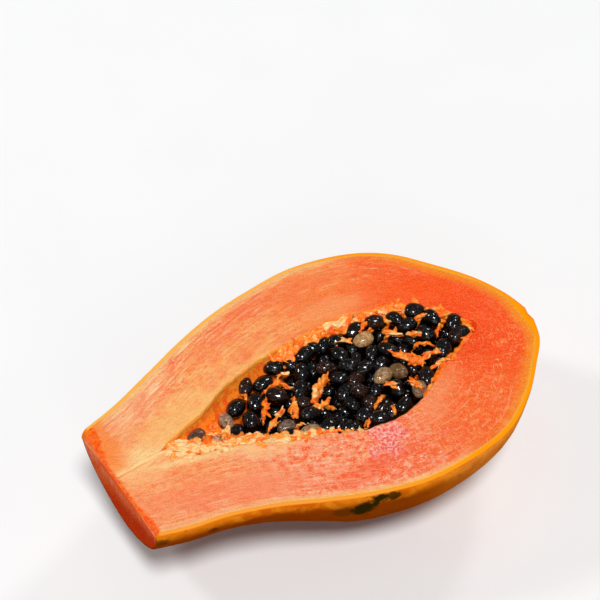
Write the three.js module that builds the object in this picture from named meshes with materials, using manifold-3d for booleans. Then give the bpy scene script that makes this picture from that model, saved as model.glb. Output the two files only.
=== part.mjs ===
// Half of a ripe papaya. The fruit is cut lengthwise, its stem end is trimmed off square, and it
// lies on its skin with the cut face up. Millimetres. While it is built, +X runs along the fruit from
// the trimmed end to the blossom end, +Y across it, and z = 0 is the cut face. The group then sets the
// origin at the middle of its footprint, on the surface that it rests on.
import * as THREE from "three";
import { mergeVertices } from "three/addons/utils/BufferGeometryUtils.js";
import Module from "manifold-3d";

const wasm = await Module();
wasm.setup();

// Driving dimensions
const LENGTH = 150; // from the trimmed end to the shoulder of the blossom scar
const HALF_WIDTH = 49.7; // at the belly
const DEPTH = 44.5; // of the belly, below the cut face
const SKIN = 1.2; // thickness of the peel
const PULP = 1; // thickness of the soft lining of the seed hollow
const GAP = 0.3; // clearance between touching pieces
const SEED = { long: 3.5, wide: 2.85, thick: 2.7 }; // half sizes of a seed in its sac
const FOOT_SAG = 0.5; // height of the belly that is pressed flat where it rests

// Half width, depth and sideways bend of the fruit at stations along it, as shares of LENGTH,
// HALF_WIDTH and DEPTH, the bend in millimetres
const BODY = [
  [0, 0.478, 0.55, -4.9],
  [0.08, 0.548, 0.57, -3.6],
  [0.173, 0.634, 0.61, -0.6],
  [0.273, 0.746, 0.69, 1.4],
  [0.37, 0.858, 0.84, 1.7],
  [0.47, 0.944, 0.99, 1.3],
  [0.59, 1, 1, 1.2],
  [0.717, 0.954, 0.92, 0.9],
  [0.812, 0.842, 0.72, -0.2],
  [0.893, 0.628, 0.48, -1.6],
  [0.954, 0.412, 0.3, -1.9],
  [0.992, 0.228, 0.16, -3.4],
].map(([x, w, d, bend]) => [x * LENGTH, w * HALF_WIDTH, d * DEPTH, bend]);
const SCAR_BEND = -3.8; // how far the blossom scar lies to the side
const SCAR_RIM = [LENGTH + 1.4, 2.8, 2.4, SCAR_BEND]; // x, half width, depth and bend
const SCAR_PIT = 1.3; // depth of the scar behind its rim
const LOBES = 5; // papayas are softly five-sided
const LOBE_HEIGHT = 0.012; // as a share of the radius
const TRIM_SLANT = { across: -0.111, down: -0.06, reach: 34 }; // the knife's slant at the stem end

// Rim and depth of the seed hollow at stations along it: x, far rim, near rim, depth
const HOLLOW = [
  [17, 0.3, -0.9, 2],
  [20, 1.8, -3.6, 3.6],
  [26, 4.2, -5.6, 6],
  [34, 7.2, -7.2, 9.5],
  [44, 13, -9.8, 13],
  [55, 17.2, -13.8, 16.5],
  [67, 20.3, -17.6, 19],
  [80, 22, -21.2, 20.5],
  [93, 23.3, -21.4, 20.5],
  [105, 22, -16.6, 19],
  [115, 19, -10.4, 16],
  [124, 13, -6, 11],
  [131, 4, -2, 4.5],
];
const HOLLOW_LOBE_HEIGHT = 0.05;

// Height of the pulp's floor towards the hollow's tip, and of the bed under the seeds: x, z
const PULP_FLOOR = [
  [16, -1.6],
  [24, -3.6],
  [31, -6.2],
  [40, -7.4],
  [45, -10],
  [50, -DEPTH],
  [LENGTH, -DEPTH],
];
const SEED_BED = [
  [44, -8.2],
  [52, -7],
  [62, -6.4],
  [90, -5.8],
  [104, -5],
  [114, -3.6],
  [126, -3],
];
const BED_ENDS = [45, 127.5];

// The heap of seeds
const HEAP = {
  from: 58,
  to: 127,
  row: 4.9, // from one row of seeds to the next
  step: 5.5, // between the seeds of a row
  shake: 2.4, // how far the draw moves a seed
  thick: 2.6, // from the lowest seed's middle to the highest one's
  grip: 2.75, // half the distance that two seeds keep
  rise: 2.1, // of a top seed's middle above the bed
  rounds: 40,
  draw: 29,
};
const SHOWN_BELOW_BED = 1.4; // seeds deeper than this are inside the bed

// Seeds round the edge of the heap, which hold their places: x, y, heading
const EDGE_SEEDS = [
  [43.6, -0.9, 68],
  [47.6, 8.6, 30],
  [49.6, 1.4, 75],
  [53.9, 14.6, 66],
  [54, 7.2, 55],
  [59.6, 13, 10],
  [61.4, 6.2, 140],
  [57.4, -10, -28],
  [65.6, 17, -22],
  [69.2, 4.6, 60],
  [77, 17.2, 25],
  [88.9, 17.4, 0],
  [96.6, 18.6, 20],
  [104.6, 18.2, 150],
  [118, 15.6, 160],
  [121.6, 10, 105],
  [127, 4.4, 60],
  [125.4, -0.6, 20],
  [118.6, -3.2, 55],
  [108.2, -10.4, 60],
  [96, -17, 35],
  [86.6, -17.6, -25],
  [76.6, -17, -20],
  [70.4, -12.6, 10],
];

// Seeds that never darkened: x, y, z, heading, size
const PALE_SEEDS = [
  [30.6, 2.3, -3.2, 15, 0.92],
  [35.4, -2.6, -4.4, 70, 0.8],
  [42.2, 4.6, -4.6, 95, 0.85],
  [58.2, -7.2, -3.4, 10, 0.9],
  [64.6, -12.4, -3.2, -20, 0.92],
  [97.4, 13.6, -3, 5, 1],
  [95.6, -3.2, -2.6, 20, 0.98],
  [103.6, -13.8, -2.4, 60, 0.9],
];

// Strands of pulp that come up between the seeds: from x, y to x, y, half thickness
const STRANDS = [
  [80.4, 5.9, 72.4, -1, 1.5],
  [70, -3.6, 76, -6.4, 1.3],
  [66.8, 3.8, 62.4, -2.2, 1.3],
  [65.4, 10.6, 57.8, 10.2, 1.3],
  [55.8, 4.4, 52.8, -1.2, 1.2],
  [104.6, 3.4, 111, -3.6, 1.4],
  [111.2, 3.4, 117.2, -0.4, 1.2],
  [116, 11, 122.4, 12.2, 1.3],
  [123.2, 6.6, 119, 2.6, 1.1],
  [106, -8, 107.6, -12.6, 1.1],
  [92.6, -9.4, 88, -12.4, 1.1],
  [88, -15.8, 82, -16.8, 1.1],
  [100.6, 16.8, 107.4, 17.4, 1.3],
  [104.2, 11.4, 109.6, 9, 1.2],
  [86.6, 15.2, 92, 17.4, 1.2],
];

// Crumbs of pulp along the near rim and in the hollow's tip
const CRUMBS = { count: 28, from: 20, to: 64, reach: 4.6, least: 1.1, most: 2.3, draw: 5 };

// ---- numbers ----

// The same stream of draws from 0 to 1 for the same seed number
function draws(seed) {
  let state = seed;
  return () => {
    state = (state * 16807) % 2147483647;
    return state / 2147483647;
  };
}

// Row of numbers at u on the uniform Catmull-Rom curve through the rows
function along(rows, u) {
  const i = Math.min(Math.floor(u), rows.length - 2);
  const f = u - i;
  const at = (k) => rows[Math.max(0, Math.min(rows.length - 1, k))];
  const [a, b, c, d] = [at(i - 1), at(i), at(i + 1), at(i + 2)];
  return b.map(
    (_, k) =>
      b[k] +
      0.5 *
        f *
        (c[k] - a[k] +
          f * (2 * a[k] - 5 * b[k] + 4 * c[k] - d[k] + f * (3 * (b[k] - c[k]) + d[k] - a[k]))),
  );
}

// The rows at x, where a row starts with its x, on straight lines between them
function atX(rows, x) {
  const last = rows.length - 2;
  let i = 0;
  while (i < last && rows[i + 1][0] < x) i += 1;
  const [a, b] = [rows[i], rows[i + 1]];
  const f = Math.max(0, Math.min(1, (x - a[0]) / (b[0] - a[0])));
  return a.map((v, k) => v + f * (b[k] - v));
}

// ---- solids ----

// Closed surface through loops of points, all with the same count, which turn anticlockwise seen
// along +X; it ends in a cap, or in a point where tip is given
function loft(loops, tip) {
  const count = loops[0].length;
  const points = loops.flat();
  const faces = [];
  const side = (a, b, c) => faces.push(a, b, c);
  loops.slice(1).forEach((_, k) => {
    for (let j = 0; j < count; j += 1) {
      const [a, b] = [k * count + j, k * count + ((j + 1) % count)];
      side(a, a + count, b + count);
      side(a, b + count, b);
    }
  });
  const last = (loops.length - 1) * count;
  for (let j = 1; j < count - 1; j += 1) side(0, j, j + 1);
  if (tip) points.push(tip);
  for (let j = 0; j < (tip ? count : 0); j += 1) {
    side(last + j, points.length - 1, last + ((j + 1) % count));
  }
  for (let j = 1; j < (tip ? 0 : count - 1); j += 1) side(last, last + j + 1, last + j);
  const geometry = new THREE.BufferGeometry();
  geometry.setAttribute("position", new THREE.Float32BufferAttribute(points.flat(), 3));
  geometry.setIndex(faces);
  return geometry;
}

function solidOf(geometry) {
  const bare = geometry.clone();
  bare.deleteAttribute("normal");
  bare.deleteAttribute("uv");
  const merged = mergeVertices(bare, 1e-4);
  return new wasm.Manifold(
    new wasm.Mesh({
      numProp: 3,
      vertProperties: new Float32Array(merged.attributes.position.array),
      triVerts: new Uint32Array(merged.index.array),
    }),
  );
}

function geometryOf(solid) {
  const mesh = solid.getMesh();
  const geometry = new THREE.BufferGeometry();
  geometry.setAttribute("position", new THREE.BufferAttribute(mesh.vertProperties, 3));
  geometry.setIndex(new THREE.BufferAttribute(mesh.triVerts, 1));
  const faceted = geometry.toNonIndexed();
  faceted.computeVertexNormals();
  return faceted;
}

function unionOf(solids) {
  return solids.reduce((whole, next) => whole.add(next));
}

// The largest body of a solid: a cut can leave loose scraps
function largest(solid) {
  return solid.decompose().reduce((a, b) => (b.volume() > a.volume() ? b : a));
}

// What lies below, or above, a line of x and z points, as wide as the fruit
function slab(line, towards) {
  const far = towards * DEPTH * 2;
  const corners = [[line[0][0], far], ...line, [line[line.length - 1][0], far]];
  const shape = new THREE.Shape(corners.map(([x, z]) => new THREE.Vector2(x, z)));
  const width = HALF_WIDTH * 3;
  const geometry = new THREE.ExtrudeGeometry(shape, { depth: width, bevelEnabled: false });
  return solidOf(geometry.rotateX(Math.PI / 2).translate(0, width / 2, 0));
}

// ---- the fruit's body ----

const BODY_ARC = 20; // facets round the underside
const BODY_STEPS = 2; // sections between two stations

// Loop of points round one section of the half fruit: an arc under the cut face, and the corners
// of a lid where the solid has to stand above it
function bodyLoop([x, width, depth, bend], lid) {
  const loop = [];
  for (let j = 0; j <= BODY_ARC; j += 1) {
    const turn = (Math.PI * j) / BODY_ARC;
    const lobe = 1 + LOBE_HEIGHT * Math.cos(LOBES * (turn - Math.PI / 2));
    loop.push([x, bend + width * lobe * Math.cos(turn), -depth * lobe * Math.sin(turn)]);
  }
  if (lid) loop.push([x, bend - width, lid], [x, bend + width, lid]);
  return loop.map(([px, y, z]) => {
    const fade = Math.max(0, 1 - Math.max(0, px) / TRIM_SLANT.reach) ** 2;
    const slant = TRIM_SLANT.across * (y - BODY[0][3]) + TRIM_SLANT.down * z;
    return [px + fade * slant, y, z];
  });
}

// Stations of the surface that lies a distance inside the skin's outside
function insetBody(distance) {
  return BODY.map((row, i) => {
    const [before, after] = [BODY[Math.max(0, i - 1)], [...BODY, SCAR_RIM][i + 1]];
    const [run, rise] = [after[0] - before[0], after[1] - before[1]];
    const length = Math.hypot(run, rise);
    const inwards = (distance * run) / length;
    return [row[0] + (distance * rise) / length, row[1] - inwards, row[2] - inwards, row[3]];
  });
}

// The half fruit down to a distance inside its outside. With a lid it stands above the cut face
// and past the trimmed end, ready to be cut out of a larger one.
function bodySolid(distance, lid = 0) {
  const rows = distance ? insetBody(distance) : [...BODY, SCAR_RIM];
  if (distance) rows[0][0] = 0;
  const loops = [];
  const steps = (rows.length - 1) * BODY_STEPS;
  for (let k = 0; k <= steps; k += 1) loops.push(bodyLoop(along(rows, k / BODY_STEPS), lid));
  if (lid) loops.unshift(loops[0].map(([x, y, z]) => [x - lid, y, z]));
  const end = SCAR_RIM[0] - SCAR_PIT - (distance ? distance + GAP : 0);
  return solidOf(loft(loops, [end, SCAR_BEND, 0]));
}

// Takes off what bulges below the flat spot that the half rests on
function footed(solid) {
  const bottom = solid.boundingBox().min[2];
  return solid.intersect(slab([[-LENGTH, bottom + FOOT_SAG], [LENGTH * 2, bottom + FOOT_SAG]], 1));
}

// ---- the seed hollow ----

const HOLLOW_ARC = 12;
const HOLLOW_STEPS = 2;

// The seed hollow, a distance inside its wall, open at the top as high as the lid
function hollowSolid(distance, lid) {
  const loops = [];
  for (let k = 0; k <= (HOLLOW.length - 1) * HOLLOW_STEPS; k += 1) {
    const [x, far, near, deep] = along(HOLLOW, k / HOLLOW_STEPS);
    const [middle, half, depth] = [(far + near) / 2, (far - near) / 2 - distance, deep - distance];
    if (half < GAP || depth < GAP) continue;
    const loop = [];
    for (let j = 0; j <= HOLLOW_ARC; j += 1) {
      const turn = (Math.PI * j) / HOLLOW_ARC;
      const lobe = 1 + HOLLOW_LOBE_HEIGHT * Math.cos(LOBES * (turn - Math.PI / 2));
      const y = middle + half * Math.cos(turn);
      loop.push([x, y, -depth * lobe * Math.sin(turn) ** 0.8]);
    }
    loop.push([x, middle - half, lid], [x, middle + half, lid]);
    loops.push(loop);
  }
  return solidOf(loft(loops));
}

// ---- seeds ----

const SEED_SIDES = 6;
const SEED_RINGS = 4; // from end to end

// One seed in its sac, grown by a margin, with its length along +X
function seedGeometry(size = 1, margin = 0) {
  const { long, wide, thick } = SEED;
  const round = new THREE.SphereGeometry(1, SEED_SIDES, SEED_RINGS).rotateZ(Math.PI / 2);
  return round.scale(long * size + margin, wide * size + margin, thick * size + margin);
}

function placedSeed({ x, y, z, heading, pitch, size }, margin = 0) {
  const turned = seedGeometry(size, margin).rotateX(pitch * 2).rotateY(pitch).rotateZ(heading);
  return turned.translate(x, y, z);
}

const paleSeeds = PALE_SEEDS.map(([x, y, z, degrees, size]) => {
  return { x, y, z, heading: THREE.MathUtils.degToRad(degrees), pitch: 0, size };
});

// Height of the middle of a seed that lies on top of the heap
function heapTop(x) {
  return atX(SEED_BED, x)[1] + HEAP.rise;
}

// Keeps a seed's middle inside the hollow, between the top and the floor of the heap
function confine(seed) {
  seed.x = Math.max(HEAP.from, Math.min(HEAP.to, seed.x));
  const [, far, near, deep] = atX(HOLLOW, seed.x);
  const margin = PULP + 2 * GAP + HEAP.grip * 0.8;
  const half = Math.max(0.6, (far - near) / 2 - margin);
  const depth = Math.max(1, deep - margin);
  const middle = (far + near) / 2;
  const top = heapTop(seed.x);
  seed.z = Math.max(top - HEAP.thick, Math.min(top, seed.z));
  const across = (seed.y - middle) / half;
  const down = Math.max(0, -seed.z) / depth;
  const out = Math.max(1, Math.sqrt(across * across + down * down));
  seed.y = middle + (across * half) / out;
  if (seed.z < 0) seed.z /= out;
}

// Seeds in staggered rows that are shaken, then pushed apart, off what keeps its place, until
// they lie side by side
function heapOfSeeds(obstacles) {
  const draw = draws(HEAP.draw);
  const seeds = [];
  for (let i = 0; HEAP.from + i * HEAP.row <= HEAP.to; i += 1) {
    const middle = HEAP.from + i * HEAP.row;
    const [, far, near] = atX(HOLLOW, middle);
    for (let across = near + (i % 2) * 0.5 * HEAP.step; across < far; across += HEAP.step) {
      const x = middle + HEAP.shake * (draw() - 0.5);
      const y = across + HEAP.shake * (draw() - 0.5);
      const z = heapTop(x) - HEAP.thick * draw();
      const heading = Math.PI * draw();
      const pitch = 0.9 * (draw() - 0.5);
      const size = 0.93 + 0.12 * draw();
      const free = obstacles.every((b) => Math.hypot(x - b.x, y - b.y) > HEAP.grip + b.radius * 0.4);
      if (free) seeds.push({ x, y, z, heading, pitch, size });
    }
  }
  for (let round = 0; round < HEAP.rounds; round += 1) {
    const pushes = seeds.map((a) => {
      const push = [0, 0, 0];
      const shove = (b, reach, share) => {
        const [dx, dy, dz] = [a.x - b.x, a.y - b.y, a.z - b.z];
        const apart = Math.sqrt(dx * dx + dy * dy + dz * dz);
        if (apart >= reach || apart === 0) return;
        const scale = (share * (reach - apart)) / apart;
        push[0] += dx * scale;
        push[1] += dy * scale;
        push[2] += dz * scale;
      };
      seeds.forEach((b) => shove(b, 2 * HEAP.grip, 0.3));
      obstacles.forEach((b) => shove(b, HEAP.grip + b.radius, 0.6));
      return push;
    });
    seeds.forEach((seed, i) => {
      seed.x += pushes[i][0];
      seed.y += pushes[i][1];
      seed.z += pushes[i][2];
      confine(seed);
    });
  }
  return seeds;
}

// ---- pulp ----

const STRAND_SIDES = 5;

// Middle line of a strand: up from the pulp under the seeds, then along the top of the heap
function strandLine([x0, y0, x1, y1]) {
  return [
    [x0, y0, -atX(HOLLOW, x0)[3]],
    [x0, y0, heapTop(x0) - 3],
    [x0 + (x1 - x0) * 0.12, y0 + (y1 - y0) * 0.12, heapTop(x0) + 0.4],
    [x0 + (x1 - x0) * 0.5, y0 + (y1 - y0) * 0.5, heapTop((x0 + x1) / 2) + 1.3],
    [x1, y1, heapTop(x1) - 0.4],
  ].map((p) => new THREE.Vector3(...p));
}

const STRAND_THICKNESS = [0.8, 0.9, 1.1, 1, 0.55]; // at the five points of its middle line

function strandSolid(row, margin = 0) {
  const line = strandLine(row);
  const ahead = new THREE.Vector3(row[2] - row[0], row[3] - row[1], 0).normalize();
  const aside = new THREE.Vector3(-ahead.y, ahead.x, 0);
  const loops = line.map((middle, k) => {
    const before = line[Math.max(0, k - 1)];
    const after = line[Math.min(line.length - 1, k + 1)];
    const forwards = after.clone().sub(before).normalize();
    const upwards = forwards.clone().cross(aside).normalize();
    const radius = row[4] * STRAND_THICKNESS[k] + margin;
    const loop = [];
    for (let j = 0; j < STRAND_SIDES; j += 1) {
      const turn = (2 * Math.PI * j) / STRAND_SIDES;
      const rim = aside.clone().multiplyScalar(radius * Math.cos(turn));
      rim.addScaledVector(upwards, -radius * Math.sin(turn));
      loop.push(rim.add(middle).toArray());
    }
    return loop;
  });
  return solidOf(loft(loops));
}

function crumbs() {
  const draw = draws(CRUMBS.draw);
  return Array.from({ length: CRUMBS.count }, (_, i) => {
    const x = CRUMBS.from + ((CRUMBS.to - CRUMBS.from) * (i + draw())) / CRUMBS.count;
    const inward = 1 + CRUMBS.reach * draw() * draw();
    const y = atX(HOLLOW, x)[2] + inward;
    const floor = Math.max(atX(PULP_FLOOR, x)[1], -3.4);
    const size = CRUMBS.least + (CRUMBS.most - CRUMBS.least) * draw();
    return { x, y, z: Math.max(floor, -0.9 - inward * 0.5), size, spin: Math.PI * draw() };
  });
}

function crumbSolid({ x, y, z, size, spin }, margin = 0) {
  const sizes = [size * 1.25 + margin, size + margin, size * 0.8 + margin];
  const lump = new THREE.IcosahedronGeometry(1, 0).scale(...sizes);
  return solidOf(lump.rotateZ(spin).rotateX(spin * 0.7).translate(x, y, z));
}

// Soft lining of the hollow with a filled tip, crumbs along the near rim, and strands
function pulpSolid() {
  const lining = hollowSolid(GAP, 3).intersect(slab([[-LENGTH, -GAP], [LENGTH * 2, -GAP]], -1));
  const inside = hollowSolid(GAP + PULP, 4);
  const bowl = lining.subtract(inside.intersect(slab(PULP_FLOOR, 1)));
  const grown = unionOf([
    ...crumbs().map((crumb) => crumbSolid(crumb)),
    ...STRANDS.map((row) => strandSolid(row)),
  ]);
  const whole = bowl.add(grown.intersect(hollowSolid(GAP + PULP / 2, 4)));
  return largest(whole.subtract(unionOf(paleSeeds.map((seed) => solidOf(placedSeed(seed, GAP))))));
}

// What the heap's seeds lie against: the pale seeds, the crumbs, the strands and the edge seeds
function seedObstacles(edge) {
  const strands = STRANDS.flatMap((row) => {
    return strandLine(row)
      .slice(1)
      .map(({ x, y, z }) => ({ x, y, z, radius: row[4] * 0.7 }));
  });
  return [
    ...paleSeeds.map(({ x, y, z }) => ({ x, y, z, radius: 2.5 })),
    ...crumbs().map(({ x, y, z, size }) => ({ x, y, z, radius: size })),
    ...edge.map(({ x, y, z }) => ({ x, y, z, radius: HEAP.grip })),
    ...strands,
  ];
}

// Room for the seeds inside the lining and over the pulp's floor
function seedRoom() {
  const raised = PULP_FLOOR.map(([x, z]) => [x + GAP, z + GAP]);
  return hollowSolid(PULP + 2 * GAP, 4).intersect(slab(raised, 1));
}

// Black seeds that stand out of a bed of the seeds beneath them
function seedsSolid() {
  const edge = EDGE_SEEDS.map(([x, y, degrees]) => {
    return { x, y, z: heapTop(x), heading: THREE.MathUtils.degToRad(degrees), pitch: 0, size: 1 };
  });
  const top = heapOfSeeds(seedObstacles(edge)).filter(({ x, z }) => {
    return z > atX(SEED_BED, x)[1] - SHOWN_BELOW_BED;
  });
  const room = seedRoom();
  const surface = SEED_BED.map(([x, z]) => [Math.max(BED_ENDS[0], Math.min(BED_ENDS[1], x)), z]);
  const bed = room.intersect(slab(surface, -1));
  const heap = unionOf([bed, ...[...top, ...edge].map((seed) => solidOf(placedSeed(seed)))]);
  const others = unionOf([
    ...STRANDS.map((row) => strandSolid(row, GAP)),
    ...crumbs().map((crumb) => crumbSolid(crumb, GAP * 1.3)),
    ...paleSeeds.map((seed) => solidOf(placedSeed(seed, GAP))),
  ]);
  return largest(heap.intersect(room).subtract(others));
}

// ---- the part ----

function material(color, roughness) {
  return new THREE.MeshStandardMaterial({ color, roughness, metalness: 0 });
}

function mesh(name, geometry, finish) {
  const made = new THREE.Mesh(geometry, finish);
  made.name = name;
  return made;
}

function papayaHalf() {
  const group = new THREE.Group();
  const skin = footed(bodySolid(0)).subtract(bodySolid(SKIN, 6));
  const flesh = bodySolid(SKIN + GAP).subtract(hollowSolid(0, 6));
  group.add(
    mesh("skin", geometryOf(skin), material(0xd98a14, 0.42)),
    mesh("flesh", geometryOf(flesh), material(0xf98149, 0.35)),
    mesh("pulp", geometryOf(pulpSolid()), material(0xfba366, 0.4)),
    mesh("seeds", geometryOf(seedsSolid()), material(0x16110f, 0.2)),
  );
  PALE_SEEDS.forEach(([x, y, z, degrees, size], i) => {
    const seed = mesh(`pale_seed_${i + 1}`, seedGeometry(size), material(0x9a7a5c, 0.4));
    seed.position.set(x, y, z);
    seed.rotation.z = THREE.MathUtils.degToRad(degrees);
    group.add(seed);
  });
  return group;
}

const half = papayaHalf();
const box = new THREE.Box3().setFromObject(half);
half.position.set(-(box.min.x + box.max.x) / 2, -(box.min.y + box.max.y) / 2, -box.min.z);

export default half;
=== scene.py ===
from math import cos, hypot, pi, radians, sin, sqrt
import bmesh
import bpy
import numpy as np
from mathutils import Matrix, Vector


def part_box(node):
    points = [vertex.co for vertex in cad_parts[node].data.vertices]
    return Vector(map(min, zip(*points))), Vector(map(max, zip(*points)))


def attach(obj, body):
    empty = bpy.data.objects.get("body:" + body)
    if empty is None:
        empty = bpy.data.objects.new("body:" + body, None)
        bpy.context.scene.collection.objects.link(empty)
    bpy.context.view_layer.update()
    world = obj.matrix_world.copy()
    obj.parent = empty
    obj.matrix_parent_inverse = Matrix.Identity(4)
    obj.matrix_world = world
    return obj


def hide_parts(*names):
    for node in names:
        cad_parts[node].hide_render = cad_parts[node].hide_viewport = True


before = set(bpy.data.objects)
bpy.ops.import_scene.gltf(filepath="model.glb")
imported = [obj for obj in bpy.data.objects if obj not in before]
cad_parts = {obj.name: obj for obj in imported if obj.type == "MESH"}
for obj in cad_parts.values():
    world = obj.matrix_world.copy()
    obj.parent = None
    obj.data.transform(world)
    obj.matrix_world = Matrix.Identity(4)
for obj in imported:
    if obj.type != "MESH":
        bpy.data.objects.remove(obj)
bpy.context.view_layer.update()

# Half of a ripe papaya, cut lengthwise, on a pale floor. Shapes are worked out in the fruit's own
# frame, in millimetres: x runs from the trimmed stem end to the blossom end, y across, and z = 0 is
# the cut face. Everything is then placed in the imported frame.
MM = 0.001

LENGTH = 150.0
HALF_WIDTH = 49.7
DEPTH = 44.5
SKIN = 1.2
SEED = (3.5, 2.85, 2.7)  # half sizes of a seed in its sac

# x, half width, depth and sideways bend at stations along the fruit
BODY = np.array([
    [0, 0.478, 0.55, -4.9], [0.08, 0.548, 0.57, -3.6], [0.173, 0.634, 0.61, -0.6],
    [0.273, 0.746, 0.69, 1.4], [0.37, 0.858, 0.84, 1.7], [0.47, 0.944, 0.99, 1.3], [0.59, 1, 1, 1.2],
    [0.717, 0.954, 0.92, 0.9], [0.812, 0.842, 0.72, -0.2], [0.893, 0.628, 0.48, -1.6],
    [0.954, 0.412, 0.3, -1.9], [0.992, 0.228, 0.16, -3.4],
]) * [LENGTH, HALF_WIDTH, DEPTH, 1]
SCAR_BEND = -3.8
SCAR_RIM = np.array([LENGTH + 1.4, 2.8, 2.4, SCAR_BEND])
SCAR_PIT = 1.3
LOBES = 5
LOBE_HEIGHT = 0.012
SCAR_BOTTOM = SCAR_RIM[0] - SCAR_PIT
GAP = 0.3
EDGE_REACH = 3.6  # of the dense sections that follow the rounded edge of the trim
# Slant of the trim, across and down, and how far along the fruit it fades
SLANT_ACROSS, SLANT_DOWN, SLANT_REACH = -0.111, -0.06, 34.0

# x, far rim, near rim and depth of the seed hollow
HOLLOW = np.array([
    [17, 0.3, -0.9, 2], [20, 1.8, -3.6, 3.6], [26, 4.2, -5.6, 6], [34, 7.2, -7.2, 9.5],
    [44, 13, -9.8, 13], [55, 17.2, -13.8, 16.5], [67, 20.3, -17.6, 19], [80, 22, -21.2, 20.5],
    [93, 23.3, -21.4, 20.5], [105, 22, -16.6, 19], [115, 19, -10.4, 16], [124, 13, -6, 11],
    [131, 4, -2, 4.5],
])
HOLLOW_LOBE_HEIGHT = 0.05

# x and height of the lining's floor, and of the bed under the heap's top
PULP_FLOOR = np.array([[16, -1.6], [24, -3.6], [31, -6.2], [40, -7.4], [45, -10], [50, -DEPTH]])
SEED_BED = np.array([[44, -8.2], [52, -7], [62, -6.4], [90, -5.8], [104, -5], [114, -3.6], [126, -3]])

# The heap: where it starts and ends, the space between and along its rows, how far its seeds are
# shaken, how thick it is, how close its seeds lie, how far it rises from its bed, and its rounds
HEAP_FROM, HEAP_TO, HEAP_ROW, HEAP_STEP = 58, 127, 4.9, 5.5
HEAP_SHAKE, HEAP_THICK, GRIP, HEAP_RISE, HEAP_ROUNDS = 2.4, 2.6, 2.75, 2.1, 40
SEED_MARGIN = 1.6  # of the hollow's lining and its clearances

# The layers beneath: how many and how far apart, where rows start, how much later in each layer, where
# they end, the space between and along rows, the stagger, and how far they keep from the rims
BELOW_LAYERS, BELOW_APART, BELOW_FROM, BELOW_LATER, BELOW_TO = 4, 3.9, 47, 2.4, 126
BELOW_ROW, BELOW_STEP, BELOW_STAGGER, BELOW_MARGIN = 5.0, 5.3, 2.6, 3.4

# Rings and sides of a seed's mesh: in the heap, beneath it, and lying apart
HEAP_MESH, BELOW_MESH, PALE_MESH = (26, 32), (9, 11), (40, 44)

# Seeds along the heap's edge: x, y and heading in degrees
EDGE_SEEDS = [
    [43.6, -0.9, 68], [47.6, 8.6, 30], [49.6, 1.4, 75], [53.9, 14.6, 66], [54, 7.2, 55], [59.6, 13, 10],
    [61.4, 6.2, 140], [57.4, -10, -28], [65.6, 17, -22], [69.2, 4.6, 60], [77, 17.2, 25],
    [88.9, 17.4, 0], [96.6, 18.6, 20], [104.6, 18.2, 150], [118, 15.6, 160], [121.6, 10, 105],
    [127, 4.4, 60], [125.4, -0.6, 20], [118.6, -3.2, 55], [108.2, -10.4, 60], [96, -17, 35],
    [86.6, -17.6, -25], [76.6, -17, -20], [70.4, -12.6, 10],
]

# Seeds that lie apart: x, y, z, heading in degrees and size
PALE_SEEDS = [
    [30.6, 2.3, -3.2, 15, 0.92], [35.4, -2.6, -4.4, 70, 0.8], [42.2, 4.6, -4.6, 95, 0.85],
    [58.2, -7.2, -3.4, 10, 0.9], [64.6, -12.4, -3.2, -20, 0.92], [97.4, 13.6, -3, 5, 1],
    [95.6, -3.2, -2.6, 20, 0.98], [103.6, -13.8, -2.4, 60, 0.9],
]
PALE_SHAPE = np.array([1.08, 0.94, 0.86])

# Strands of pulp over the heap: from x, y to x, y, and half thickness
STRANDS = [
    [80.4, 5.9, 72.4, -1, 1.5], [70, -3.6, 76, -6.4, 1.3], [66.8, 3.8, 62.4, -2.2, 1.3],
    [65.4, 10.6, 57.8, 10.2, 1.3], [55.8, 4.4, 52.8, -1.2, 1.2], [104.6, 3.4, 111, -3.6, 1.4],
    [111.2, 3.4, 117.2, -0.4, 1.2], [116, 11, 122.4, 12.2, 1.3], [123.2, 6.6, 119, 2.6, 1.1],
    [106, -8, 107.6, -12.6, 1.1], [92.6, -9.4, 88, -12.4, 1.1], [88, -15.8, 82, -16.8, 1.1],
    [100.6, 16.8, 107.4, 17.4, 1.3], [104.2, 11.4, 109.6, 9, 1.2], [86.6, 15.2, 92, 17.4, 1.2],
]
STRAND_SINK, STRAND_GIRTH, STRAND_TONE = 0.9, 0.8, 0.2

# How many crumbs, where along x, how far from the near rim, their sizes and their proportions
CRUMB_COUNT, CRUMB_FROM, CRUMB_TO, CRUMB_REACH, CRUMB_LEAST, CRUMB_MOST = 28, 20, 64, 4.6, 1.1, 2.3
CRUMB_SHAPE = np.array([1.25, 1, 0.6])

# Seeds of the heap that have dried to tan: x, y, and the reach of a place
DRIED = [[102.6, -4.4]]
DRIED_REACH = 3

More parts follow.
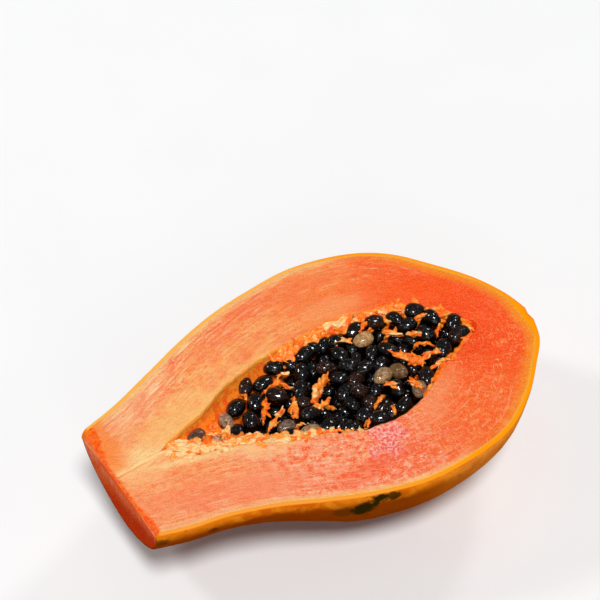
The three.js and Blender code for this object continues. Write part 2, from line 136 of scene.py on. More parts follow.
# Torn strips of pulp between the seeds: from x, y, z to x, y, z, half thickness, and paleness
SHREDS = [
    [32, 4, -4.6, 38, -0.6, -3.4, 1.5, 0.55], [37, 5.6, -5.4, 40.9, 10.4, -5.6, 1.4, 0.35],
    [37.5, -4, -1.4, 40.4, -0.6, -2.4, 1.5, 0.85], [43.8, -6.5, -1.2, 49, -8.6, -1.0, 1.2, 0.7],
    [51.6, -7.4, -1.6, 56.6, -3.4, -2.6, 1.3, 0.5], [56.8, -3, -2.4, 60.2, -0.8, -3.0, 1.2, 0.45],
    [61.4, -6.2, -2.6, 65.7, 1, -3.6, 1.5, 0.3], [60.6, -9.6, -1.8, 64, -10, -2.2, 1.2, 0.6],
    [62.6, 14.2, -5, 66.6, 6.6, -3.6, 1.2, 0.4], [66, 12.8, -4.2, 68.4, 12.2, -3.6, 1.1, 0.9],
    [57.4, 7, -4.6, 55.2, 1.4, -4.6, 1.5, 0.0], [78.9, 5, -1.6, 71.6, -1.4, -1.8, 1.4, 0.35],
    [70, -3, -2.6, 71.4, -6.6, -1.4, 1.2, 0.5], [71.4, -6.8, -1.4, 75.2, -4.2, -1.6, 1.3, 0.5],
    [52, 13.4, -5.2, 52, 9.6, -4.2, 1.0, 0.3], [80.5, 22.6, -1.4, 88, 21.8, -1.2, 1.3, 0.35],
    [87.6, 22, -1.1, 95.4, 21.6, -1.3, 1.7, 1.0], [80, 20.6, -3.4, 86.4, 17.6, -3.6, 1.3, 0.3],
    [86.6, 18.2, -2.8, 93, 15.2, -3, 1.2, 0.6], [97.6, 16.6, -2, 101.4, 18.8, -2, 1.1, 0.25],
    [104.6, 21, -1.2, 108.4, 19.2, -1.4, 1.5, 0.6], [109.6, 18.6, -1.0, 114.2, 17.4, -0.9, 1.5, 0.55],
    [106.6, 17.6, -2, 107.8, 14.4, -1.6, 1.1, 0.3], [114.8, 11.6, -1.2, 121, 11.2, 0.1, 1.4, 0.35],
    [121.8, 9.4, -0.6, 127, 7.4, -0.2, 1.5, 0.4], [123.4, 13.2, -1, 128.2, 10.6, -0.6, 1.2, 0.35],
    [105, 12, -1.6, 109, 8.6, -0.8, 1.1, 0.6], [111, 8, -1.4, 114.6, 5, -0.8, 1.2, 0.6],
    [102.6, 2.2, -1.2, 105.4, -2.8, -0.1, 1.6, 0.3], [105.2, -2.8, -0.1, 109.4, -6.4, 0, 1.6, 0.4],
    [109.2, -6, -0.2, 112.6, -3.6, 0, 1.3, 0.35], [112.2, -3.4, 0, 118, -4.9, -0.2, 1.5, 0.7],
    [110.4, -8.8, -0.6, 117, -8.2, -0.5, 1.1, 0.5], [102.4, -10, -1, 103.4, -15.4, -0.4, 1.3, 0.35],
    [94.4, -7.2, -1.4, 97.2, -10.8, -1, 1.2, 0.35], [91.9, -16.4, -1.2, 90.9, -20.6, -0.7, 0.8, 0.35],
    [83.2, -17.2, -2, 80.6, -20.8, -0.8, 0.8, 0.25], [66, -16, -0.8, 73, -18.6, -0.6, 0.7, 0.3],
    [128.2, 3, -1, 130.6, -0.4, -0.6, 1.0, 0.3], [123, 12, -2.4, 129.6, 5.2, -1.2, 1.6, 0.0],
    [124, -5.6, -1.6, 130.4, -1.2, -1.0, 1.3, 0.0], [33, 3, -5.4, 33.6, -5.4, -1.8, 1.7, 0.6],
    [38.6, 7, -5.8, 39, -3, -2.4, 1.9, 0.5], [21, 0.6, -1.6, 30, -3.6, -1.2, 2.0, 1.0],
    [24, 2.4, -2.8, 30, -0.6, -2.0, 1.8, 0.8], [16.4, -0.2, -0.9, 21, -1.0, -1.2, 1.3, 1.0],
    [17.6, -0.4, -0.6, 26, -3.4, -0.5, 1.2, 1.2], [127, 7.6, -1.4, 131, 2.6, -0.9, 1.6, 0.0],
    [126, -3.6, -1.4, 131, 1.4, -1.0, 1.4, 0.1],
]

# Fringes of pulp: from x, to x, flakes, near (-1) or far (1) rim, reach, drop, size, paleness
FRINGES = [
    [18, 34, 44, -1, 6.5, 0.1, 2.1, 0.9], [32, 46, 40, -1, 6.0, 0.3, 2.0, 0.65],
    [44, 70, 60, -1, 3.6, 0.35, 1.8, 0.6], [66, 80, 12, -1, 1.6, 0.6, 1.3, 0.3],
    [66, 113, 90, 1, 4.0, 0.6, 2.1, 0.2], [106, 131, 60, 1, 3.4, 0.3, 2.2, 0.0],
    [104, 130, 40, -1, 2.4, 0.4, 1.7, 0.0],
]

# Where the fruit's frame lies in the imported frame: a pale seed's box is centred on its own place
pale_low, pale_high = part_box("pale_seed_8")
ORIGIN = np.array((pale_low + pale_high) / 2) / MM - PALE_SEEDS[7][:3]


# ---- numbers ----

def draws(seed):
    """A function that draws the same numbers from 0 to 1 for the same seed."""
    state = [seed]

    def draw():
        state[0] = state[0] * 16807 % 2147483647
        return state[0] / 2147483647
    return draw


def along(rows, u):
    """Rows of numbers at u on the uniform Catmull-Rom curve through the rows."""
    u = np.atleast_1d(np.asarray(u, float))
    last = len(rows) - 1
    i = np.minimum(np.floor(u).astype(int), last - 1)
    f = (u - i)[:, None]
    a, b, c, d = (rows[np.clip(i + k, 0, last)] for k in (-1, 0, 1, 2))
    return b + 0.5 * f * (c - a + f * (2 * a - 5 * b + 4 * c - d + f * (3 * (b - c) + d - a)))


def at_x(rows, x):
    """The rows' other numbers at x, on straight lines between the rows."""
    return [np.interp(x, rows[:, 0], rows[:, k]) for k in range(1, rows.shape[1])]


def smooth(low, high, value):
    """0 below low, 1 above high, and an S-curve between."""
    t = np.clip((value - low) / (high - low), 0, 1)
    return t * t * (3 - 2 * t)


def lattice_noise(points, seed=0):
    """Smooth noise from -1 to 1 at points, one for each row."""
    cell = np.floor(points).astype(np.int64)
    f = points - cell
    f = f * f * (3 - 2 * f)
    total = np.zeros(len(points))
    for corner in range(8):
        step = np.array([corner & 1, corner >> 1 & 1, corner >> 2 & 1])
        key = (cell + step) @ np.array([73856093, 19349663, 83492791]) + seed * 2654435761
        key = (key ^ (key >> 13)) * 1274126177 & 0xFFFFFFFF
        key = (key ^ (key >> 16)) * 2246822519 & 0xFFFFFFFF
        value = ((key >> 8) & 0xFFFF) / 32767.5 - 1
        total += value * np.prod(np.where(step, f, 1 - f), axis=1)
    return total


def noise(points, scale, octaves=3, seed=0):
    """Noise whose largest features are one scale across."""
    points = np.asarray(points, float) / scale
    return sum(lattice_noise(points * 2**k, seed + k) / 2**k for k in range(octaves)) / 1.5


def relief(points, *layers):
    """Heights at points from layers of noise: each its height, scale, octaves and seed."""
    return sum(height * noise(points, *rest) for height, *rest in layers)


# ---- meshes ----

SHARP_CORNER = 50  # degrees between faces that aren't shaded as one


def in_scene(name, data):
    """A new object of the scene."""
    made = bpy.data.objects.new(name, data)
    bpy.context.scene.collection.objects.link(made)
    return made


def mesh_object(name, points, faces, attributes=None, materials=(), second=None):
    """A mesh of points in the fruit's frame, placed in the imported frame; second marks the faces that
    take the second material."""
    mesh = bpy.data.meshes.new(name)
    mesh.from_pydata(((np.asarray(points) + ORIGIN) * MM).tolist(), [], [list(f) for f in faces])
    mesh.validate()
    mesh.update()
    for key, values in (attributes or {}).items():
        layer = mesh.attributes.new(key, "FLOAT", "POINT")
        layer.data.foreach_set("value", np.asarray(values, np.float32))
    mesh.shade_smooth()
    mesh.set_sharp_from_angle(angle=radians(SHARP_CORNER))
    for material in materials:
        mesh.materials.append(material)
    if second is not None:
        mesh.polygons.foreach_set("material_index", np.asarray(second, np.int32))
    return in_scene(name, mesh)


def loop_faces(sections, count):
    """Faces between neighbouring closed loops of count points each."""
    return [(a + j, a + count + j, a + count + (j + 1) % count, a + (j + 1) % count)
            for a in range(0, (sections - 1) * count, count) for j in range(count)]


def fan(start, count, hub, order=1):
    """Triangles from a closed loop of points to its hub; order -1 turns them over."""
    return [(start + j, start + (j + 1) % count, hub)[::order] for j in range(count)]


def grid(x, y, z):
    """Points of sections at x, each with its rows of y and z."""
    return np.stack([np.repeat(x[:, None], y.shape[1], 1), y, z], 2)


def unit(vectors):
    """Each row at a length of 1."""
    return vectors / np.maximum(np.linalg.norm(vectors, axis=1), 1e-6)[:, None]


def join_parts(parts):
    """One set of points, faces and tones from several shapes, each with its faces and its tone."""
    faces, base = [], 0
    for shape, shape_faces, _ in parts:
        faces += [tuple(i + base for i in f) for f in shape_faces]
        base += len(shape)
    tones = np.concatenate([np.full(len(shape), tone) for shape, _, tone in parts])
    return np.concatenate([part[0] for part in parts]), faces, {"tone": tones}


def piece(name, slot, node, materials, points, faces, values=None, second=None):
    """One piece of the visual model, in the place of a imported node."""
    made = mesh_object(name, points, faces, values, materials, second)
    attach(made, "root")
    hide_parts(node)


# ---- materials ----

def linear(red, green, blue):
    """A display colour, 0 to 255, as the scene-linear colour that a shader takes."""
    def one(v):
        v /= 255
        return v / 12.92 if v <= 0.04045 else ((v + 0.055) / 1.055) ** 2.4
    return (one(red), one(green), one(blue), 1.0)


def worked(operation):
    """A method that adds one node of arithmetic behind a wire."""
    return lambda a, b=0.0: a.nodes.math(operation, a, b)


class Wire:
    """A number or colour that a material works out at every point, fit for sums."""

    def __init__(self, nodes, socket):
        self.nodes, self.socket = nodes, socket

    def __rsub__(self, other):
        return self.nodes.math("SUBTRACT", other, self)

    __add__, __sub__, __mul__ = worked("ADD"), worked("SUBTRACT"), worked("MULTIPLY")
    __truediv__, __abs__ = worked("DIVIDE"), worked("ABSOLUTE")


class Nodes:
    """One material: short ways to add its nodes, and the colour painted so far."""

    def __init__(self, name):
        self.material = bpy.data.materials.new(name)
        self.material.use_nodes = True
        self.tree = self.material.node_tree
        place = self.node("TexCoord", {}, "Object")
        self.xyz = self.node("Mapping", {"Vector": place, "Scale": (1 / MM,) * 3, "Location": tuple(-ORIGIN)})
        self.x, self.y, self.z = (self.node("SeparateXYZ", {"Vector": self.xyz}, axis) for axis in "XYZ")
        self.wobble = 0.0  # added to the edge of every region

    def put(self, socket, value):
        if isinstance(value, Wire):
            self.tree.links.new(value.socket, socket)
        else:
            socket.default_value = value

    def node(self, kind, inputs, out=0, **settings):
        """An output of a new node, with its inputs by name or number."""
        node = self.tree.nodes.new("ShaderNode" + kind)
        for key, value in settings.items():
            setattr(node, key, value)
        for key, value in inputs.items():
            self.put(node.inputs[key], value)
        return Wire(self, node.outputs[out])

    def math(self, operation, a, b=0.0):
        return self.node("Math", {0: a, 1: b}, operation=operation)

    def most(self, a, b):
        return self.math("MAXIMUM", a, b)

    def rise(self, value, low, high, start=0.0, end=1.0):
        """start where value is low, end where it is high, eased between."""
        inputs = {"Value": value, "From Min": low, "From Max": high, "To Min": start, "To Max": end}
        return self.node("MapRange", inputs, interpolation_type="SMOOTHSTEP")

    def attribute(self, name):
        return self.node("Attribute", {}, "Fac", attribute_name=name)

    def stretched(self, scale, turn=0.0, shift=0.0):
        """The place, scaled along each axis, after a turn about z in degrees."""
        turned = self.node("Mapping", {"Vector": self.xyz, "Rotation": (0, 0, radians(turn)),
                                       "Location": (shift,) * 3})
        return self.node("Mapping", {"Vector": turned, "Scale": scale})

    def combine(self, x, y, z):
        return self.node("CombineXYZ", {"X": x, "Y": y, "Z": z})

    def noise(self, scale, detail, roughness, distortion=0.0, vector=None):
        return self.node("TexNoise", {"Vector": vector or self.xyz, "Scale": scale, "Detail": detail,
                                      "Roughness": roughness, "Distortion": distortion}, "Fac")

    def region(self, x, y, reach_x, reach_y, turn=0.0, wobble=None):
        """1 inside an oval of the cut face and 0 well outside, with a ragged edge."""
        c, s = cos(radians(turn)), sin(radians(turn))
        dx, dy = self.x - x, self.y - y
        u, v = (dx * c + dy * s) / reach_x, (dy * c - dx * s) / reach_y
        far = self.math("SQRT", u * u + v * v) + (wobble or self.wobble)
        return self.rise(far, 0.4, 1.6, 1.0, 0.0)

    def mix(self, share, a, b, blend="MIX"):
        """From colour a to colour b, where three numbers are a display colour."""
        a, b = (linear(*c) if isinstance(c, tuple) and len(c) == 3 else c for c in (a, b))
        return self.node("Mix", {"Factor": share, "A": a, "B": b}, "Result", data_type="RGBA",
                         blend_type=blend, clamp_factor=True)

    def ramp(self, value, color, *steps):
        """A colour that turns to each step's own between the step's two values."""
        for low, high, after in steps:
            color = self.mix(self.rise(value, low, high), color, after)
        return color

    def paint(self, share, color, blend="MIX"):
        """Lays a colour over the colour so far."""
        self.color = self.mix(share, self.color, color, blend)

    def bump(self, height, distance, strength):
        return self.node("Bump", {"Height": height, "Distance": distance * MM, "Strength": strength})

    def deepen(self, red, green, blue):
        """Takes off the white that the surface's own shine adds."""
        self.paint(1.0, (red, green, blue, 1.0), "MULTIPLY")

    def finish(self, roughness, normal=None, soft=None, **sockets):
        """The material, where soft is how much light goes into it, how far by colour, and a scale."""
        sockets.update(Base_Color=self.color, Roughness=roughness)
        if normal:
            sockets["Normal"] = normal
        if soft:
            names = ("Weight", "Radius", "Scale")
            sockets.update({"Subsurface_" + name: value for name, value in zip(names, soft)})
        for key, value in sockets.items():
            self.put(self.tree.nodes["Principled BSDF"].inputs[key.replace("_", " ")], value)
        return self.material


# ---- the fruit's body ----

def body_rows(inset):
    """Stations of the surface that lies inset inside the skin's outside."""
    if not inset:
        return np.vstack([BODY, SCAR_RIM])
    after = np.vstack([BODY[1:], SCAR_RIM])
    before = np.vstack([BODY[:1], BODY[:-1]])
    run, rise = after[:, 0] - before[:, 0], after[:, 1] - before[:, 1]
    length = np.hypot(run, rise)
    inwards = inset * run / length
    rows = np.column_stack([BODY[:, 0] + inset * rise / length, BODY[:, 1] - inwards,
                            BODY[:, 2] - inwards, BODY[:, 3]])
    rows[0, 0] = 0
    return rows


def slanted(points):
    """Points moved by the slant of the knife at the stem end."""
    fade = np.clip(1 - np.maximum(0, points[:, 0]) / SLANT_REACH, 0, 1) ** 2
    moved = points.copy()
    moved[:, 0] += fade * (SLANT_ACROSS * (points[:, 1] - BODY[0, 3]) + SLANT_DOWN * points[:, 2])
    return moved


# ---- shape of the cut ----

def edge_radius(y):
    """How far the trimmed edge is rounded: most at the far corner, least in the middle."""
    return 0.9 + 2.6 * smooth(2, 17, y) + 1.5 * smooth(-14, -26, y)


def cut_height(x, y):
    """Height of the cut face, which rolls over at the trimmed edge."""
    radius = edge_radius(y)
    inside = np.clip(radius - x, 0, radius)
    return np.sqrt(np.maximum(radius**2 - inside**2, 0)) - radius


def rounded_end(row, tip, count):
    """Sections that close a blunt end from its last row to a point."""
    t = np.sin(np.linspace(0, pi / 2, count + 1)[1:])
    shrink = np.sqrt(np.maximum(1 - t**2, 1e-8))
    return np.column_stack([row[0] + (tip - row[0]) * t, row[1] * shrink, row[2] * shrink,
                            row[3] + (SCAR_BEND - row[3]) * t])


def places_along(count):
    """Places along the body's rows, dense at the trimmed edge and at the blossom end."""
    first = EDGE_REACH * (1 - np.cos(np.linspace(0, pi / 2, 11))) / BODY[1, 0]
    last = len(BODY) - 1
    middle = np.linspace(first[-1], last - 1, count)[1:]
    end = last - 1 + np.sin(np.linspace(0, pi / 2, 14))[1:]
    return np.concatenate([first, middle, end])


def section_points(rows, turns):
    """Grids of y and z for rows of sections by turns."""
    width, depth, bend = (rows[:, k, None] for k in (1, 2, 3))
    lobe = 1 + LOBE_HEIGHT * np.cos(LOBES * (turns - pi / 2))
    return bend + width * lobe * np.cos(turns), -depth * lobe * np.sin(turns)


# Middle strip of the cut face past both ends of the hollow: x, far edge, near edge, depth
CREASE_STEM = np.array([[-4, -1.9, -4.3, 0.02], [4, -1.3, -3.7, 0.02], [11, -0.2, -2.4, 0.03],
                        [14, 0.0, -1.9, 0.1]])
CREASE_TIP = np.array([[133.6, 1.8, 0.2, 0.04], [139, 2.6, 1.0, 0.02], [146, 2.2, 0.5, 0.02],
                       [150, -2.8, -4.8, 0.02]])


def hollow_at(x):
    """Far rim, near rim and depth of the hollow, or of the crease in line with it, at x."""
    dense = along(HOLLOW, np.linspace(0, len(HOLLOW) - 1, 500))
    far, near, depth = at_x(np.vstack([CREASE_STEM, dense, CREASE_TIP]), x)
    place = np.outer(x, [1, 0, 0])
    ragged = smooth(17, 26, x) * (1 - smooth(126, 131, x)) * 0.5
    return (far + ragged * noise(place, 5, 3, 11), near + ragged * noise(place, 4, 3, 12),
            depth * (0.2 + 0.8 * smooth(16, 25, x)))


def hollow_wall(turns, near_round, far_round, depth, lower=0.0, least=0.0):
    """Heights of the hollow's wall, under its rounded rims."""
    lobe = 1 + HOLLOW_LOBE_HEIGHT * np.cos(LOBES * (turns - pi / 2))
    brim = lower + near_round + (far_round - near_round) * (1 + np.cos(turns)) / 2
    return -brim - np.maximum(depth * lobe - brim, least) * np.sin(turns) ** 0.8


def rim_rounds(x, far, near, depth):
    """How far the near and the far rim of the hollow are rounded at x."""
    most = np.minimum(depth * 0.5, (far - near) * 0.28)
    broad = smooth(18, 30, x) * smooth(112, 86, x)
    return np.minimum(0.9 + 0.3 * broad, most), np.minimum(1.0 + 0.5 * broad, most)


# ---- flesh ----

FLESH_SECTIONS = 290
FACE, ROUND, WALL, UNDER = 60, 7, 54, 44  # columns of the flesh's mesh
LAP = 0.05  # of the flesh into the skin
RIM_LEAST = 0.3  # least width of flesh beside the hollow, as a share of the half width
FACE_RELIEF = (0.22, 13, 2, 1), (0.1, 1.9, 3, 2)
STREAK_RELIEF, STREAK_SHAPE = (0.07, 1.2, 2, 3), [0.35, 1, 1]
WALL_RELIEF = 0.45, 4.5, 3, 4

TRIM_RINGS = 34
TRIM_CENTRE = np.array([0, -4.6, -8.0])
TRIM_BULGE = 0.12
ROLL_RELIEF = 0.5, 2.5, 2, 9
TRIM_RELIEF = 0.25, 6, 3, 5


def distance_to(points, line):
    """Distance in the cut's plane from each point to the nearest point of a line."""
    nearest = np.full(len(points), np.inf)
    for start in range(0, len(points), 4000):
        part = points[start:start + 4000, None, :2] - line[None, :, :2]
        nearest[start:start + 4000] = np.sqrt((part**2).sum(2).min(1))
    return nearest


def trimmed_face(edge, first):
    """Points and faces of rings that shrink from the trimmed edge, points 0 and on, to a hub; the
    rings' own points are counted from first."""
    count = len(edge)
    rings = []
    for m in range(1, TRIM_RINGS):
        ring = TRIM_CENTRE + (edge - TRIM_CENTRE) * (1 - m / TRIM_RINGS)
        ring[:, 0] += smooth(0, 4, m) * (relief(ring, TRIM_RELIEF) + TRIM_BULGE)
        rings.append(ring)
    starts = [0] + [first + k * count for k in range(TRIM_RINGS)]
    faces = []
    for a, b in zip(starts[:-1], starts[1:-1]):
        faces += [(a + j, a + (j + 1) % count, b + (j + 1) % count, b + j) for j in range(count)]
    return [*rings, TRIM_CENTRE + [TRIM_BULGE, 0, 0]], faces + fan(starts[-2], count, starts[-1])


def flesh_mesh():
    """Points, faces and attributes of the flesh, and which faces belong to the trimmed end."""
    inset = SKIN - LAP
    tip_x = SCAR_BOTTOM - inset - GAP
    rows = along(body_rows(inset), places_along(FLESH_SECTIONS))
    rows = np.vstack([rows, rounded_end(rows[-1], tip_x, 8)])
    x, width, _, bend = rows.T[:, :, None]
    far, near, depth = (v[:, None] for v in hollow_at(rows[:, 0]))
    near_round, far_round = rim_rounds(x, far, near, depth)
    left, right = bend - width, bend + width
    near = np.maximum(near, left + RIM_LEAST * width)
    far = np.minimum(far, right - RIM_LEAST * width)
    middle = (far + near) / 2
    under_y, under_z = section_points(rows, np.linspace(0, pi, UNDER))
    across = np.linspace(0, 1, FACE + 1)[1:]
    lean = np.linspace(0, pi / 2, ROUND + 1)[1:]
    turns = np.linspace(pi, 0, WALL)[1:-1]
    level = np.zeros((len(x), FACE))
    y = np.hstack([
        under_y,
        left + (near - near_round - left) * across,
        near - near_round + near_round * np.sin(lean),
        middle + (far - near) / 2 * np.cos(turns),
        far + far_round - far_round * np.sin(lean[::-1]),
        far + far_round + (right - far - far_round) * (1 - across[::-1]),
    ])
    z = np.hstack([under_z, level, -near_round * (1 - np.cos(lean)),
                   hollow_wall(turns, near_round, far_round, depth),
                   -far_round * (1 - np.cos(lean[::-1])), level])
    count = y.shape[1]
    points = grid(rows[:, 0], y, z).reshape(-1, 3)
    kind = np.repeat([0, 1, 2, 1], [UNDER, FACE + ROUND, WALL - 2, ROUND + FACE])
    face, wall = (np.tile(kind == k, len(x)) for k in (1, 2))
    peel = distance_to(points, np.vstack([np.hstack([x, left]), np.hstack([x, right])]))
    inside = (rows[:, 0] > HOLLOW[0, 0]) & (rows[:, 0] < HOLLOW[-1, 0])
    rim = distance_to(points, np.vstack([np.hstack([x, near])[inside], np.hstack([x, far])[inside]]))
    points[:, 2] = np.minimum(points[:, 2], cut_height(points[:, 0], points[:, 1]))
    height = relief(points, *FACE_RELIEF) + relief(points * STREAK_SHAPE, STREAK_RELIEF)
    points[:, 2] += smooth(0.2, 2.5, peel) * face * height
    outward = unit((points - np.hstack([x, middle, -depth * 0.2]).repeat(count, 0)) * [0, 1, 1])
    deep = np.repeat(depth[:, 0] > 1.5, count) & wall
    points[deep] += (outward * relief(points, WALL_RELIEF)[:, None])[deep]
    faces = loop_faces(len(x), count)
    # the blossom end and the trimmed face
    last, tip = len(points) - count, len(points)
    faces += fan(last, count, tip, -1)
    trim_points, trim_faces = trimmed_face(points[:count], tip + 1)
    points = np.vstack([points, [tip_x, SCAR_BEND, -0.01], *trim_points])
    on_trim = np.repeat([0, 1], [len(faces), len(trim_faces)])
    extra = len(points) - len(peel)
    roll = edge_radius(points[:, 1]) - points[:, 0] + relief(points, ROLL_RELIEF)
    on_wall = smooth(0.3, 1.2, depth[:, 0]).repeat(count) * (points[:len(peel), 2] < -0.3)
    values = {"peel": np.append(peel, np.full(extra, 0.5)), "rim": np.append(rim, np.full(extra, 30.0)),
              "wall": np.append(on_wall, np.zeros(extra)), "rolled": smooth(-0.8, 0.4, roll)}
    return slanted(points), faces + trim_faces, values, on_trim


# ---- skin ----

SKIN_SECTIONS, SKIN_COLUMNS = 236, 121
SKIN_RELIEF = (0.35, 17, 2, 21), (0.1, 3.5, 3, 22)
SKIN_SUNK = 0.25
ROUND_OUT = 0.4  # of the skin's edge


def skin_mesh():
    """Points and faces of the skin: a shell with its outside, its edge at the cut and its inside."""
    count = SKIN_COLUMNS
    turns = np.linspace(0, pi, count)
    outer, inner = (along(body_rows(inset), places_along(SKIN_SECTIONS)) for inset in (0, SKIN))
    to_rim = along(body_rows(0), len(BODY) - 1 + np.linspace(0, 1, 13)[1:])
    pit_middle = np.array([SCAR_RIM[0] - 0.5, 0.02, 0.02, SCAR_BEND])
    outer = np.vstack([outer, to_rim, SCAR_RIM + (pit_middle - SCAR_RIM) * np.linspace(0, 1, 9)[1:, None]])
    inner = np.vstack([inner, rounded_end(inner[-1], SCAR_BOTTOM - SKIN - GAP, 20)])
    shell = grid(outer[:, 0], *section_points(outer, turns))
    lining = grid(inner[:, 0], *section_points(inner, turns[::-1]))
    # soft swellings of the outside, none at the cut and none where it rests
    flat = shell.reshape(-1, 3)
    swell = relief(flat, *SKIN_RELIEF) - SKIN_SUNK
    keep = smooth(0, 6, -flat[:, 2]) * np.repeat(np.minimum(outer[:, 1], 20) / 20, count)
    away = unit(flat * [0, 1, 1] - np.outer(outer[:, 3].repeat(count), [0, 1, 0]))
    flat = flat + away * (swell * keep)[:, None]
    flat[:, 2] = np.maximum(flat[:, 2], -ORIGIN[2])
    shell = flat.reshape(shell.shape)
    # its edges at the cut: from the outside, over a soft shoulder, to the inside
    sides = []
    for a, b in ((shell[:, -1], lining[:, 0]), (shell[:, 0], lining[:, -1])):
        for share, drop in ((0.08, 0.16), (0.25, 0.03), (0.6, 0.0)):
            point = a + (b - a) * share
            point[:, 2] = np.minimum(point[:, 2], 0) - drop
            sides.append(point[:, None])
    shell[:, 0, 2] = shell[:, -1, 2] = -ROUND_OUT
    loop = np.concatenate([shell, *sides[:3], lining, *sides[:2:-1]], 1)
    total = loop.shape[1]
    points = loop.reshape(-1, 3)
    points[:, 2] = np.minimum(points[:, 2], cut_height(points[:, 0], points[:, 1]))
    faces = loop_faces(len(outer), total)
    # both ends, closed between the outside and the inside
    end = [[j, j + 1, 2 * count + 1 - j, 2 * count + 2 - j] for j in range(count - 1)]
    end += [[*range(count - 1, count + 4)], [*range(2 * count + 2, 2 * count + 6), 0]]
    for base, order in ((0, 1), (len(points) - total, -1)):
        faces += [[base + k for k in face][::order] for face in end]
    return slanted(points), faces


# ---- seeds ----

def seed_shape(rings, sides, seed):
    """A plump drop, lying along x, with half sizes of 1, and its faces."""
    points = [[-1, 0, 0]]
    for a in np.linspace(0, pi, rings + 1)[1:-1]:
        for b in np.linspace(0, 2 * pi, sides, endpoint=False):
            girth = sin(a) ** 0.92 * (1 - 0.10 * cos(a))
            points.append([-cos(a), girth * cos(b), girth * sin(b)])
    points = np.array(points + [[1, 0, 0]])
    bump = 1 + 0.09 * noise(points + seed * 7.3, 1.1, 2, seed)
    fold = np.abs(lattice_noise(points * [1.6, 3.4, 3.4] + seed * 3.1, seed))
    points *= (bump - 0.05 * smooth(0.22, 0.0, fold))[:, None]
    a, last = 1 + (rings - 2) * sides, len(points) - 1
    girdle = [(1 + a, 1 + d, 1 + c, 1 + b) for a, b, c, d in loop_faces(rings - 1, sides)]
    return points, fan(1, sides, 0, -1) + fan(a, sides, last) + girdle


def turned_seed(points, x, y, z, heading, pitch, size):
    """A seed's points at its place, heading and pitch, with a size or three."""
    cx, sx = cos(2 * pitch), sin(2 * pitch)
    cy, sy = cos(pitch), sin(pitch)
    cz, sz = cos(heading), sin(heading)
    roll = np.array([[1, 0, 0], [0, cx, -sx], [0, sx, cx]])
    tilt = np.array([[cy, 0, sy], [0, 1, 0], [-sy, 0, cy]])
    swing = np.array([[cz, -sz, 0], [sz, cz, 0], [0, 0, 1]])
    return points * SEED * np.array(size) @ (swing @ tilt @ roll).T + [x, y, z]


def heap_top(x):
    return float(np.interp(x, SEED_BED[:, 0], SEED_BED[:, 1])) + HEAP_RISE


def hollow_row(x):
    return [float(v) for v in at_x(HOLLOW, x)]


def confine(seed):
    """Keeps a seed's middle inside the hollow, between the top and the floor of the heap."""
    x = seed[0] = max(HEAP_FROM, min(HEAP_TO, seed[0]))
    far, near, deep = hollow_row(x)
    margin = SEED_MARGIN + GRIP * 0.8
    half = max(0.6, (far - near) / 2 - margin)
    middle = (far + near) / 2
    seed[2] = max(heap_top(x) - HEAP_THICK, min(heap_top(x), seed[2]))
    across = (seed[1] - middle) / half
    down = max(0, -seed[2]) / max(1, deep - margin)
    out = max(1, sqrt(across * across + down * down))
    seed[1] = middle + across * half / out
    if seed[2] < 0:
        seed[2] /= out


def heap_of_seeds(obstacles):
    """Seeds in staggered rows that are shaken, then pushed apart until they lie side by side."""
    draw = draws(29)
    seeds = []
    for row in range(int((HEAP_TO - HEAP_FROM) / HEAP_ROW) + 1):
        middle = HEAP_FROM + row * HEAP_ROW
        far, near, _ = hollow_row(middle)
        across = near + (row % 2) * 0.5 * HEAP_STEP
        while across < far:
            x = middle + HEAP_SHAKE * (draw() - 0.5)
            y = across + HEAP_SHAKE * (draw() - 0.5)
            seed = [x, y, heap_top(x) - HEAP_THICK * draw(), pi * draw(),
                    0.9 * (draw() - 0.5), 0.93 + 0.12 * draw()]
            if all(hypot(x - b[0], y - b[1]) > GRIP + b[3] * 0.4 for b in obstacles):
                seeds.append(seed)
            across += HEAP_STEP
    fixed = np.array(obstacles)
    for _ in range(HEAP_ROUNDS):
        here = np.array(seeds)[:, :3]
        push = np.zeros_like(here)
        for others, reach, share in ((here, np.full(len(here), 2 * GRIP), 0.3),
                                     (fixed[:, :3], GRIP + fixed[:, 3], 0.6)):
            away = here[:, None] - others[None]
            apart = np.linalg.norm(away, axis=2)
            close = (apart < reach) & (apart > 0)
            scale = np.where(close, share * (reach - apart) / np.where(close, apart, 1), 0)
            push += (away * scale[:, :, None]).sum(1)
        for seed, step in zip(seeds, push):
            seed[:3] = [float(v) for v in seed[:3] + step]
            confine(seed)
    return seeds


# ---- pulp ----

def strand_line(x0, y0, x1, y1):
    """Middle line of a strand: up out of the heap, then along its top."""
    tops = heap_top(x0) - 3, heap_top(x0) + 0.4, heap_top((x0 + x1) / 2) + 1.3, heap_top(x1) - 0.4
    shares = 0, 0.12, 0.5, 1
    return np.array([[x0 + (x1 - x0) * k, y0 + (y1 - y0) * k, top] for k, top in zip(shares, tops)])


def crumbs():
    """Places of the crumbs: x, y, z, size and heading."""
    draw = draws(5)
    made = []
    for i in range(CRUMB_COUNT):
        x = CRUMB_FROM + (CRUMB_TO - CRUMB_FROM) * (i + draw()) / CRUMB_COUNT
        inward = 1 + CRUMB_REACH * draw() * draw()
        floor = max(float(np.interp(x, PULP_FLOOR[:, 0], PULP_FLOOR[:, 1])), -3.4)
        made.append([x, hollow_row(x)[1] + inward, max(floor, -0.9 - inward * 0.5),
                     CRUMB_LEAST + (CRUMB_MOST - CRUMB_LEAST) * draw(), pi * draw()])
    return made


ball = bmesh.new()
bmesh.ops.create_icosphere(ball, subdivisions=2, radius=1)
BALL_POINTS = np.array([v.co[:] for v in ball.verts])
BALL_FACES = [tuple(v.index for v in f.verts) for f in ball.faces]
ball.free()


